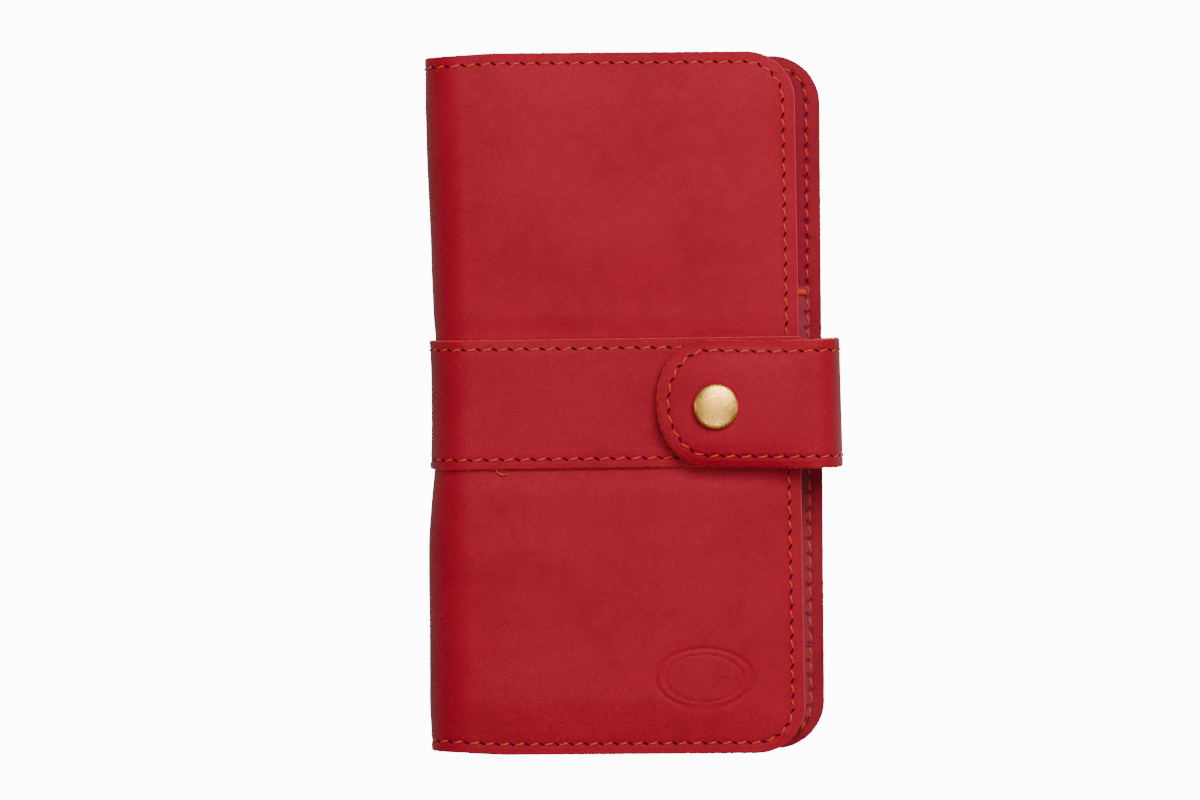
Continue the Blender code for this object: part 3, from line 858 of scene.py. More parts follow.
class Graph:
    """Short ways to add and join nodes in one tree."""

    def __init__(self, tree: Tree) -> None:
        """Work in a tree."""
        self.tree = tree

    def node(self, kind: str, settings: Optional[dict[str, Any]] = None, **inputs: Any) -> Node:
        """Add a node.

        Args:
            kind: The node's type, without its ShaderNode prefix.
            settings: Its properties.
            inputs: Values or sockets for its inputs, with _ for a space in their names.

        Returns:
            The node.
        """
        made = self.tree.nodes.new("ShaderNode" + kind)
        for name, value in (settings or {}).items():
            setattr(made, name, value)
        self.set(made, **inputs)
        return made

    def set(self, node: Node, **inputs: Any) -> None:
        """Give a node's inputs values or sockets, with _ for a space in their names."""
        for name, value in inputs.items():
            self.feed(node.inputs[name.replace("_", " ")], value)

    def feed(self, target: Socket, value: Any) -> None:
        """Link a socket to an input, or set the input's value.

        Args:
            target: The input.
            value: The socket or the value.
        """
        if isinstance(value, Socket):
            self.tree.links.new(value, target)
        else:
            target.default_value = value

    def fill(self, node: Node, values: Sequence[Any]) -> Socket:
        """Give a node's inputs values or sockets in turn.

        Args:
            node: The node.
            values: What its first inputs get.

        Returns:
            Its first output.
        """
        for target, value in zip(node.inputs, values):
            self.feed(target, value)
        return node.outputs[0]

    def math(self, operation: str, *values: Any) -> Socket:
        """The result of a sum of one to three values or sockets."""
        return self.fill(self.node("Math", {"operation": operation}), values)

    def mix(self, share: Any, a: Any, b: Any) -> Socket:
        """A mix of two colours.

        Args:
            share: How much of the second colour there is.
            a: The first colour.
            b: The second colour.

        Returns:
            The mixed colour.
        """
        made = self.node("Mix", {"data_type": "RGBA", "blend_type": "MIX", "clamp_factor": True})
        self.feed(made.inputs[0], share)
        self.feed(made.inputs[6], (*a, 1.0) if isinstance(a, tuple) else a)
        self.feed(made.inputs[7], (*b, 1.0) if isinstance(b, tuple) else b)
        return made.outputs[2]

    def plus(self, a: Any, b: Any) -> Socket:
        """The sum of two values."""
        return self.math("ADD", a, b)

    def times(self, a: Any, b: Any) -> Socket:
        """The product of two values."""
        return self.math("MULTIPLY", a, b)

    def away(self, a: Any, b: Any) -> Socket:
        """How far apart two values are."""
        return self.math("ABSOLUTE", self.math("SUBTRACT", a, b))

    def span(self, value: Any, low: float, high: float) -> Socket:
        """A value moved smoothly from the range low to high to the range 0 to 1."""
        way = {"interpolation_type": "SMOOTHSTEP"}
        return self.node("MapRange", way, Value=value, From_Min=low, From_Max=high).outputs[0]

    def scaled(self, vector: Any, by: Triple) -> Socket:
        """A vector with each part multiplied by its own number."""
        return self.fill(self.node("VectorMath", {"operation": "MULTIPLY"}), (vector, by))

    def noise(self, vector: Any, scale: float, detail: float, rough: float) -> Socket:
        """Soft noise from 0 to 1."""
        values = {"Vector": vector, "Scale": scale, "Detail": detail, "Roughness": rough}
        return self.node("TexNoise", None, **values).outputs[0]

    def group(self, tree: Tree, **inputs: Any) -> Node:
        """Place a shared group with its own values."""
        return self.node("Group", {"node_tree": tree}, **inputs)

    def bump(self, shader: Node, height: Any, strength: float, depth: float) -> None:
        """Raise a shader's surface by a height of at most the given depth, in metres."""
        made = self.node("Bump", None, Strength=strength, Distance=depth, Height=height)
        self.set(shader, Normal=made.outputs[0])

    def place(self, scale: float) -> Socket:
        """Where a point is on its object, scaled from metres."""
        return self.scaled(self.node("TexCoord").outputs["Object"], (scale,) * 3)


def new_group(name: str, inputs: Sequence[str], outputs: Sequence[str]) -> tuple[Graph, Node, Node]:
    """An empty node group.

    Args:
        name: The group's name.
        inputs: Names of its inputs, each a vector if it is called Place and else a number.
        outputs: Names of its outputs, which are numbers.

    Returns:
        A graph on the group, and the group's input and output nodes.
    """
    tree = bpy.data.node_groups.new(name, "ShaderNodeTree")
    for word in inputs:
        kind = "NodeSocketVector" if word == "Place" else "NodeSocketFloat"
        tree.interface.new_socket(name=word, in_out="INPUT", socket_type=kind)
    for word in outputs:
        tree.interface.new_socket(name=word, in_out="OUTPUT", socket_type="NodeSocketFloat")
    return Graph(tree), tree.nodes.new("NodeGroupInput"), tree.nodes.new("NodeGroupOutput")


def hide_grain_group() -> Tree:
    """Grain of dyed hide: pebbles, pores and fine creases.

    Returns:
        The group, with outputs Height, Pores and Mottle.
    """
    ends = ("Height", "Pores", "Mottle")
    graph, given, out = new_group("hide_grain", ("Place", "Crease"), ends)
    place = given.outputs["Place"]
    bent = graph.node("VectorMath", {"operation": "ADD"})
    graph.feed(bent.inputs[0], place)
    warp = graph.node("TexNoise", None, Vector=place, Scale=0.35, Detail=2.0)
    graph.feed(bent.inputs[1], graph.scaled(warp.outputs[1], (1.4, 1.4, 0.0)))
    edges = {"feature": "DISTANCE_TO_EDGE"}
    cells = graph.node("TexVoronoi", edges, Vector=bent.outputs[0], Scale=1.9)
    pebble = graph.span(cells.outputs["Distance"], 0.0, 0.28)
    fine = graph.noise(place, 5.5, 4.0, 0.6)
    streak = graph.noise(graph.scaled(bent.outputs[0], (0.28, 1.5, 1.0)), 1.0, 4.0, 0.6)
    crease = graph.math("POWER", graph.away(streak, 0.5), 0.5)
    height = graph.plus(graph.times(pebble, 0.35), graph.times(fine, 0.65))
    creased = graph.times(crease, given.outputs["Crease"])
    graph.set(out, Height=graph.plus(height, creased))
    graph.set(out, Pores=graph.span(fine, 0.44, 0.30))
    cloud = graph.noise(place, 0.035, 3.0, 0.5)
    blotch = graph.noise(place, 0.16, 4.0, 0.6)
    wide = graph.plus(graph.times(cloud, 0.6), graph.times(blotch, 0.4))
    graph.set(out, Mottle=graph.span(wide, 0.30, 0.60))
    return graph.tree


def stitch_mark_group() -> Tree:
    """Masks along a seam, from the seam attribute: the awl slits, painted shade along the stitch
    groove, and the side out past the row.

    Returns:
        The group, with outputs for the slits, for the painted shade in the groove, and for the
        outer side.
    """
    ends = ("Slit", "Dent", "Outside")
    graph, given, out = new_group("stitch_marks", ("Share", "Lean"), ends)
    seam = graph.node("Attribute", {"attribute_name": "seam"})
    parts = graph.node("SeparateXYZ", None, Vector=seam.outputs["Vector"])
    turn = graph.math("FRACT", parts.outputs[0])
    gap = graph.math("SUBTRACT", 1.0, given.outputs["Share"])
    into = graph.math("DIVIDE", graph.math("SUBTRACT", turn, given.outputs["Share"]), gap)
    across = graph.math("SUBTRACT", 1.0, graph.times(into, 2.0))
    away = graph.away(parts.outputs[1], graph.times(across, given.outputs["Lean"]))
    window = graph.times(graph.span(into, 0.0, 0.16), graph.span(into, 1.0, 0.84))
    pinched = graph.plus(away, graph.times(graph.away(into, 0.45), 0.45))
    graph.set(out, Slit=graph.times(graph.span(pinched, 0.36, 0.20), window))
    # Painted shade: a mask that is 1 along the stitch groove, used only to darken the groove where
    # shade falls.
    graph.set(out, Dent=graph.span(graph.math("ABSOLUTE", parts.outputs[1]), 0.85, 0.15))
    graph.set(out, Outside=graph.span(parts.outputs[2], -0.25, 0.25))
    return graph.tree


def fibre_group() -> Tree:
    """Short fibres of raw hide.

    Returns:
        The group, with outputs Height and Fluff.
    """
    graph, given, out = new_group("raw_fibres", ("Place",), ("Height", "Fluff"))
    flat_turn = {"rotation_type": "Z_AXIS"}
    slant = graph.node("VectorRotate", flat_turn, Vector=given.outputs["Place"], Angle=0.9)
    strand = graph.noise(graph.scaled(slant.outputs[0], (0.7, 4.5, 1.0)), 1.0, 3.0, 0.6)
    speck = graph.noise(given.outputs["Place"], 4.0, 3.0, 0.7)
    both = graph.plus(graph.times(strand, 0.6), graph.times(speck, 0.4))
    graph.set(out, Height=both)
    graph.set(out, Fluff=graph.span(both, 0.38, 0.62))
    return graph.tree


@dataclass
class Effects:
    """The shader groups that several finishes share, built once."""

    grain: Tree = field(default_factory=hide_grain_group)
    marks: Tree = field(default_factory=stitch_mark_group)
    fibres: Tree = field(default_factory=fibre_group)


def start_material(name: str) -> tuple[Material, Graph, Node]:
    """A material with its own Principled BSDF.

    Args:
        name: The material's name.

    Returns:
        The material, a graph on it, and its shader.
    """
    made = bpy.data.materials.new(name)
    made.use_nodes = True
    return made, Graph(made.node_tree), made.node_tree.nodes["Principled BSDF"]


@dataclass(frozen=True)
class GrainLeather:
    """The dyed, lightly waxed grain side of the hide."""

    name: str = "red_grain_leather"
    colour: Triple = (0.236, 0.0030, 0.0125)
    deep: Triple = (0.200, 0.0022, 0.0095)
    # Painted shade: the near-black colour inside the awl slits, standing in for the shade in the
    # holes.
    slit_shade: Triple = (0.0030, 0.0002, 0.0003)
    # Colour inside a seam's row: partly the lining's own burgundy tone, partly painted shade from
    # the front cover's edge above it.
    inner: Optional[Triple] = None
    roughness: float = 0.43
    grain: float = 0.10
    crease: float = 0.5
    stitch_share: float = 0.60
    stitch_lean: float = 0.36
    specular: float = 0.13
    specular_tint: tuple[float, float, float, float] = (1.0, 0.55, 0.62, 1.0)

    def make(self, effects: Effects) -> Material:
        """Build the material.

        Args:
            effects: The shared shader groups.

        Returns:
            The material.
        """
        made, graph, shader = start_material(self.name)
        plan = graph.node("Attribute", {"attribute_name": "plan"})
        grain = graph.group(effects.grain, Place=plan.outputs["Vector"], Crease=self.crease)
        marks = graph.group(effects.marks, Share=self.stitch_share, Lean=self.stitch_lean)
        body = graph.mix(grain.outputs["Mottle"], self.deep, self.colour)
        # Inside the seam's row: darker burgundy, partly the lining's own tone and partly painted
        # shade from the front cover's edge.
        if self.inner is not None:
            body = graph.mix(marks.outputs["Outside"], self.inner, body)
        body = graph.mix(graph.times(grain.outputs["Pores"], 0.25), body, self.deep)
        # Painted shade: darken the stitch groove towards the deep tone.
        body = graph.mix(graph.times(marks.outputs["Dent"], 0.22), body, self.deep)
        # Painted shade: the slits go near-black, for the shade inside the holes.
        body = graph.mix(marks.outputs["Slit"], body, self.slit_shade)
        graph.set(shader, Base_Color=body)
        uneven = graph.times(grain.outputs["Mottle"], -0.06)
        dull = graph.math("MULTIPLY_ADD", marks.outputs["Slit"], 0.5, self.roughness + 0.03)
        graph.set(shader, Roughness=graph.plus(dull, uneven))
        shader.inputs["Specular IOR Level"].default_value = self.specular
        shader.inputs["Specular Tint"].default_value = self.specular_tint
        rise = graph.times(grain.outputs["Height"], self.grain)
        dent = graph.times(marks.outputs["Slit"], -0.35)
        graph.bump(shader, graph.plus(rise, dent), 1.0, MM)
        return made


@dataclass(frozen=True)
class RawHide:
    """A cut edge or the flesh side of the hide, where its fibres show."""

    name: str
    colour: Triple
    pale: Triple
    depth: float = 0.14
    roughness: float = 0.78
    sheen: float = 0.15

    def make(self, effects: Effects) -> Material:
        """Build the material.

        Args:
            effects: The shared shader groups.

        Returns:
            The material.
        """
        made, graph, shader = start_material(self.name)
        plan = graph.node("Attribute", {"attribute_name": "plan"})
        fibres = graph.group(effects.fibres, Place=plan.outputs["Vector"])
        colour = graph.mix(fibres.outputs["Fluff"], self.colour, self.pale)
        graph.set(shader, Base_Color=colour)
        fluff = graph.times(fibres.outputs["Fluff"], 0.1)
        graph.set(shader, Roughness=graph.plus(fluff, self.roughness))
        shader.inputs["Specular IOR Level"].default_value = 0.3
        shader.inputs["Sheen Weight"].default_value = self.sheen
        graph.bump(shader, graph.times(fibres.outputs["Height"], self.depth), 1.0, MM)
        return made


@dataclass(frozen=True)
class WaxedThread:
    """Twisted orange thread with a little wax."""

    name: str = "orange_thread"
    colour: Triple = (0.62, 0.048, 0.003)
    deep: Triple = (0.30, 0.012, 0.002)
    roughness: float = 0.42

    def make(self, effects: Effects) -> Material:
        """Build the material.

        Args:
            effects: The shared shader groups.

        Returns:
            The material.
        """
        made, graph, shader = start_material(self.name)
        fibres = graph.group(effects.fibres, Place=graph.place(2.0 / MM))
        colour = graph.mix(fibres.outputs["Fluff"], self.deep, self.colour)
        graph.set(shader, Base_Color=colour)
        fluff = graph.times(fibres.outputs["Fluff"], 0.12)
        graph.set(shader, Roughness=graph.plus(fluff, self.roughness))
        shader.inputs["Specular IOR Level"].default_value = 0.3
        graph.bump(shader, fibres.outputs["Height"], 0.8, 0.1 * MM)
        return made


@dataclass(frozen=True)
class PlatedMetal:
    """Plated metal with specks of wear or patina."""

    name: str
    colour: Triple
    worn: Triple
    roughness: float

    def make(self, effects: Effects) -> Material:
        """Build the material.

        Args:
            effects: The shared shader groups.

        Returns:
            The material.
        """
        made, graph, shader = start_material(self.name)
        place = graph.place(1.0 / MM)
        speck = graph.span(graph.noise(place, 2.6, 5.0, 0.7), 0.42, 0.64)
        cloud = graph.span(graph.noise(place, 0.35, 3.0, 0.6), 0.35, 0.65)
        both = graph.plus(graph.times(speck, 0.75), graph.times(cloud, 0.25))
        graph.set(shader, Base_Color=graph.mix(both, self.colour, self.worn))
        shader.inputs["Metallic"].default_value = 1.0
        rough = graph.plus(graph.times(both, 0.14), self.roughness)
        graph.set(shader, Roughness=rough)
        graph.bump(shader, speck, 0.35, 0.05 * MM)
        return made


@dataclass(frozen=True)
class Fibreboard:
    """Grey-brown board inside the covers."""

    name: str = "fibreboard"
    colour: Triple = (0.30, 0.22, 0.14)
    pale: Triple = (0.42, 0.33, 0.22)

    def make(self, effects: Effects) -> Material:
        """Build the material.

        Args:
            effects: The shared shader groups.

        Returns:
            The material.
        """
        made, graph, shader = start_material(self.name)
        fibres = graph.group(effects.fibres, Place=graph.place(1.0 / MM))
        colour = graph.mix(fibres.outputs["Fluff"], self.colour, self.pale)
        graph.set(shader, Base_Color=colour)
        shader.inputs["Roughness"].default_value = 0.9
        graph.bump(shader, fibres.outputs["Height"], 0.5, 0.1 * MM)
        return made


@dataclass
class Finishes:
    """Every finish of the case, made once."""

    effects: Effects = field(default_factory=Effects)

    def __post_init__(self) -> None:
        """Make the materials."""
        effects = self.effects
        grain = GrainLeather().make(effects)
        # The back lining's face; its darker colour inside the seam's row is partly painted shade
        # from the front cover's edge.
        inner_grain = GrainLeather(
            name="inner_leather", inner=(0.185, 0.0050, 0.0180), colour=(0.206, 0.0072, 0.0160),
            deep=(0.174, 0.0050, 0.0125), roughness=0.60, grain=0.14,
        ).make(effects)
        lining = RawHide(
            "burgundy_flesh", (0.150, 0.0035, 0.0140), (0.225, 0.0075, 0.0240), 0.12, 0.70
        ).make(effects)
        edge = RawHide(
            "cut_edge", (0.46, 0.014, 0.012), (0.58, 0.040, 0.030), sheen=0.0
        ).make(effects)
        flesh = RawHide("flesh_side", (0.24, 0.014, 0.016), (0.34, 0.036, 0.032)).make(effects)
        self.grain = (grain, edge, flesh)
        self.inner = (inner_grain, edge, flesh)
        self.lining = (lining, edge, lining)
        self.raw = (flesh, edge, flesh)
        self.fluff = edge
        self.thread = WaxedThread().make(effects)
        brass = PlatedMetal("antique_brass", (0.90, 0.50, 0.10), (0.58, 0.27, 0.04), 0.24)
        steel = PlatedMetal("spring_steel", (0.56, 0.55, 0.53), (0.40, 0.39, 0.37), 0.25)
        self.brass, self.steel = brass.make(effects), steel.make(effects)
        self.board = Fibreboard().make(effects)


# The frame.


@dataclass(frozen=True)
class Extent:
    """Where a CAD node begins and ends on each axis, in millimetres."""

    x0: float
    y0: float
    z0: float
    x1: float
    y1: float
    z1: float

    @property
    def radius(self) -> float:
        """Half its width, for a round piece."""
        return (self.x1 - self.x0) / 2

    @property
    def thickness(self) -> float:
        """How tall it is, for a flat ply."""
        return self.z1 - self.z0


def extent(node: str) -> Extent:
    """Read where a CAD node begins and ends."""
    low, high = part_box(node)
    return Extent(*(float(value) / MM for value in (*low, *high)))


@dataclass
class Layout:
    """Places shared by the sub-assemblies, read from the frame in millimetres."""

    def __post_init__(self) -> None:
        """Read the frame."""
        front, back = extent("front_cover_leather"), extent("back_cover_leather")
        strap, cap = extent("strap_front_band"), extent("snap_cap")
        self.spine_x = extent("strap_spine_band").x0
        self.half_height, self.half_strap = front.y1, strap.y1
        self.middle = strap.z1 / 2.0
        self.front_end, self.front_top = front.x1, front.z1
        self.back_end = back.x1
        self.leather_depth, self.leather = back.z0, back.thickness
        self.strap = strap.thickness
        self.lining = extent("back_lining").thickness
        self.centre = (self.spine_x + self.middle, self.middle)
        self.snap = ((cap.x0 + cap.x1) / 2, (cap.y0 + cap.y1) / 2)

    def spine_arc(self, depth: float, front: bool, inner: bool = False) -> Profile:
        """A profile from the middle of the spine round to a cover.

        Args:
            depth: How deep it runs under the strap's outer face.
            front: Whether it goes to the front cover or the back one.
            inner: Whether the sheet's outer face looks into the case.

        Returns:
            The unfinished profile.
        """
        radius = self.middle - depth
        profile = Profile((self.centre[0] - radius, self.middle), outer_on_right=front == inner)
        return profile.arc(self.centre, (radius, radius), 180.0, 90.0 if front else 270.0)

    def blend_front(self, made: Object) -> None:
        """Bake a piece's transform into its mesh."""
        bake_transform(made)

    def blend_back(self, made: Object) -> None:
        """Bake a piece's transform into its mesh."""
        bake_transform(made)


@dataclass
class SpineShape:
    """How the strap squeezes the spine's middle and lets its ends flare."""

    squeeze: float = 0.7
    squeeze_width: float = 22.0
    top_flare: float = 2.1
    bottom_flare: float = 1.7
    bottom_spread: float = 0.45
    half: float = 97.2
    skew: float = 0.0095
    tuck: float = 0.80
    spread: float = 0.42
    settle: float = 2.8
    band_edge: float = 0.5
    band_tilt: float = 0.006

    def flare(self, y: Array) -> Array:
        """How far the spine stands out.

        Args:
            y: Heights up the case.

        Returns:
            The distance at each height.
        """
        pinch = -self.squeeze * np.exp(-((y / self.squeeze_width) ** 2))
        reach = np.abs(y) / self.half
        above = self.top_flare * reach ** 2
        below = self.bottom_flare * smooth_step(reach, 0.0, self.bottom_spread)
        return pinch + np.where(y > 0.0, above, below)

    def hide(self, front: bool) -> Shift:
        """The sideways shift of a cover's ply.

        Args:
            front: Whether the ply reaches the front cover, which lies a little askew.

        Returns:
            The shift.
        """

        def move(s: Array, y: Array, normal: Array) -> Array:
            """Shift points by the flare and the cover's skew.

            Args:
                s: Distances along the sheet.
                y: Distances across it.
                normal: Its outward normals, as (x, z).

            Returns:
                The shift of each point.
            """
            shift = np.zeros(s.shape + (3,))
            shift[..., 0] = -self.flare(y) * np.abs(normal[..., 0])
            tucked = self.tuck * (1.0 - smooth_step(s, 8.0, 26.0))
            shift[..., 1] = y / self.half * (self.spread - tucked)
            if front:
                shift[..., 0] -= self.skew * y * np.abs(normal[..., 1])
            return shift

        return move

    def band(self, front: bool, half: float) -> Shift:
        """The sideways shift of the strap round the spine.

        Args:
            front: Whether the strap runs on over the front cover, where it lies tilted.
            half: Half of the strap's width.

        Returns:
            The shift.
        """

        def move(s: Array, y: Array, normal: Array) -> Array:
            """Shift points in by the squeeze, less at the strap's edges.

            Args:
                s: Distances along the strap.
                y: Distances across it.
                normal: Its outward normals, as (x, z).

            Returns:
                The shift of each point.
            """
            shift = np.zeros(s.shape + (3,))
            inward = self.squeeze - self.band_edge * (np.abs(y) / half) ** 3
            shift[..., 0] = inward * np.abs(normal[..., 0])
            if front:
                shift[..., 1] = self.band_tilt * (s - 60.0) * np.abs(normal[..., 1])
            return shift

        return move


# Sub-assemblies.


@dataclass
class Piece:
    """A made piece and what the frame has to know about it."""

    made: Object
    slot: Slot
    body: str = ""
    bend: Optional[Bend] = None
    stands_for: Sequence[str] = ()

    def fit(self) -> None:
        if self.bend is not None:
            self.bend(self.made)
        else:
            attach(self.made, self.body)
        if self.stands_for:
            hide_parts(*self.stands_for)
        log.info("made %s with %d points", self.made.name, len(self.made.data.vertices))


@dataclass
class Cover:
    """What both covers share: their outline, their seams' paths and their lining's profile."""

    layout: Layout
    finishes: Finishes
    shape: SpineShape
    margin: float = 3.0
    side_margin: float = 3.4
    corner: float = 13.5
    pitch: float = 4.12
    glue_gap: float = 0.3
    lining_seam_start: float = 12.0
    lining_lean: float = 0.3
    spine_mesh: Triple = (0.0, 18.0, 0.9)
    front: ClassVar[bool] = True

    def inset(self, s: Array, y: Array, end: float) -> Array:
        """How far in from the nearest cut edge each point is."""
        return np.minimum(self.layout.half_height - np.abs(y), end - s)

    def seam_path(self, start: float, length: float, radius: float) -> Array:
        """A seam's path, a margin in from a ply's edges.

        Args:
            start: Where along the ply it starts and ends.
            length: The ply's length.
            radius: The radius of its corners.

        Returns:
            The path's (s, y) points.
        """
        reach = self.layout.half_height - self.margin
        return round_path(start, length - self.side_margin, -reach, reach, (radius, radius))

    def lining_profile(self, end: float, level: float) -> Profile:
        """The lining's way from the middle of the spine down to its cover, past a soft gutter.

        Args:
            end: The x at which it ends.
            level: The z of the face that looks into the case.

        Returns:
            The finished profile.
        """
        place = self.layout
        depth = place.leather_depth + place.leather + self.glue_gap + place.lining
        arc = place.spine_arc(depth, front=self.front, inner=True)
        eased = arc.ease(arc.points[-1][0] + self.shape.settle, level)
        return eased.line(end, level).close()

    def ply(
        self, name: str, profile: Profile, thickness: float, relief: Relief, seam: Seam, **more: Any
    ) -> Sheet:
        """A ply as tall as the case, with round far corners.

        Args:
            name: The piece's name.
            profile: What it follows.
            thickness: How thick it is.
            relief: What raises its outer face.
            seam: The row of stitches through it.
            more: Other fields of the sheet.

        Returns:
            The ply.
        """
        half, corner = self.layout.half_height, (self.corner, self.corner)
        return Sheet(
            name, profile, 0.0, profile.length, -half, half, thickness, corner, corner, relief,
            self.shape.hide(self.front), [seam], **more,
        )


@dataclass
class FrontCover(Cover):
    """The front cover's hide and lining, which both run round half the spine."""

    bulge: float = 1.3
    edge_drop: float = 0.45
    lining_drop: float = 0.85
    stamp_size: Pair = (13.5, 8.2)
    stamp_from_edges: Pair = (28.0, 21.0)
    stamp_depth: float = 0.33
    stamp_inner: float = 0.80
    stamp_mesh: float = 0.42

    def __post_init__(self) -> None:
        """Lay out the profile, the seam and the stamp."""
        place = self.layout
        arc = place.spine_arc(place.leather_depth, front=True)
        self.profile = arc.line(place.front_end, place.front_top).close()
        self.end = self.profile.length
        path = self.seam_path(0.0, self.end, self.corner - self.margin)
        self.seam = Seam(path, pitch=self.pitch, seed=3)
        in_from_end, up = self.stamp_from_edges
        self.stamp = (self.end - in_from_end, up - place.half_height)

    def relief(self, s: Array, y: Array) -> Array:
        """The hide's swell, its soft waves, and the blind stamp near its lower corner.

        Args:
            s: Distances along the hide.
            y: Distances across it.

        Returns:
            The height at each point.
        """
        strap = self.layout.half_strap
        inset = np.minimum(self.inset(s, y, self.end), 30.0)
        clear = 0.45 * smooth_step(np.abs(y), strap + 0.3, strap + 7.0)
        clear += 0.55 * smooth_step(np.abs(y), strap + 1.0, strap + 30.0)
        flatness = smooth_step(s, 2.0, 22.0)
        body = smooth_step(inset, 2.0, 16.0)
        height = self.bulge * clear * body * (0.4 + 0.6 * flatness)
        height -= self.edge_drop * (1.0 - smooth_step(inset, 1.0, 7.0)) * smooth_step(s, 8.0, 20.0)
        waves = 0.22 * ripple(s, y, 5, 46.0) + 0.05 * ripple(s, y, 8, 17.0)
        waves += 0.60 * hill(s, y, (62.0, 46.0), (30.0, 11.0), 8.0)
        waves -= 0.45 * hill(s, y, (72.0, 27.0), (24.0, 5.0), -6.0)
        waves += 0.35 * hill(s, y, (30.0, 60.0), (14.0, 26.0), -12.0)
        waves -= 0.30 * hill(s, y, (48.0, -34.0), (30.0, 4.5), 5.0)
        height += waves * clear * body
        return height - self.stamp_depth * self.stamp_line(s, y)

    def stamp_line(self, s: Array, y: Array) -> Array:
        """A plain double oval pressed into the hide.

        Args:
            s: Distances along the hide.
            y: Distances across it.

        Returns:
            1 in the outer line, less in the inner one and 0 elsewhere.
        """
        wide, tall = self.stamp_size
        radius = np.hypot((s - self.stamp[0]) / wide, (y - self.stamp[1]) / tall)
        outer = np.exp(-(((radius - 1.0) * tall) / 0.42) ** 2)
        inner = np.exp(-(((radius - self.stamp_inner) * tall) / 0.26) ** 2)
        return outer + 0.7 * inner

    def hide(self) -> Sheet:
        """The outer leather.

        Returns:
            The sheet, with a finer mesh at the stamp, the cut edge and the strap's edge.
        """
        wide, tall = self.stamp_size
        along, across, strap = self.stamp[0], self.stamp[1], self.layout.half_strap
        stamp_s = (along - wide - 1.0, along + wide + 1.0, self.stamp_mesh)
        stamp_y = (across - tall - 1.0, across + tall + 1.0, self.stamp_mesh)
        return self.ply(
            "front_cover_hide", self.profile, self.layout.leather, self.relief, self.seam,
            fine_s=[stamp_s, (self.end - 5.2, self.end, 0.45), self.spine_mesh],
            fine_y=[stamp_y, (strap - 1.0, strap + 2.0, 0.6)],
        )

    def lining(self) -> Sheet:
        """The lining, which drops from the spine to the cover past a soft gutter.

        Returns:
            The sheet.
        """
        cad = extent("front_lining")
        profile = self.lining_profile(self.layout.front_end, cad.z0)
        path = self.seam_path(self.lining_seam_start, profile.length, self.corner - self.margin)
        seam = Seam(path, pitch=self.pitch, lean=-0.30, seed=4, groove=0.10)

        def rise(s: Array, y: Array) -> Array:
            """Lift the margins to meet the hide."""
            margins = 1.0 - smooth_step(self.inset(s, y, profile.length), 2.0, 6.5)
            return -self.lining_drop * margins * smooth_step(s, 9.0, 18.0)

        return self.ply(
            "front_cover_lining", profile, cad.thickness, rise, seam, step=2.0,
            fine_s=[self.spine_mesh], lean=self.lining_lean,
        )

    def build(self) -> list[Piece]:
        """Make the cover's pieces.

        Returns:
            The hide, the lining and their stitches.
        """
        hide, lining, finishes = self.hide(), self.lining(), self.finishes
        bend = self.layout.blend_front
        made = hide.lay(finishes.grain, "folded", "front_stiffener")
        under = lining.lay(finishes.lining, "folded", "front_stiffener")
        row = hide.stitches("front_cover_seam", finishes.thread, self.seam)
        back_row = lining.stitches("front_lining_seam", finishes.thread, lining.seams[0])
        covers = ["front_cover_leather", "spine_leather"]
        return [
            Piece(made, Slot.LEATHER, bend=bend, stands_for=covers),
            Piece(under, Slot.LINING, bend=bend, stands_for=["front_lining", "spine_lining"]),
            Piece(row, Slot.THREAD, bend=bend),
            Piece(back_row, Slot.THREAD, bend=bend),
        ]


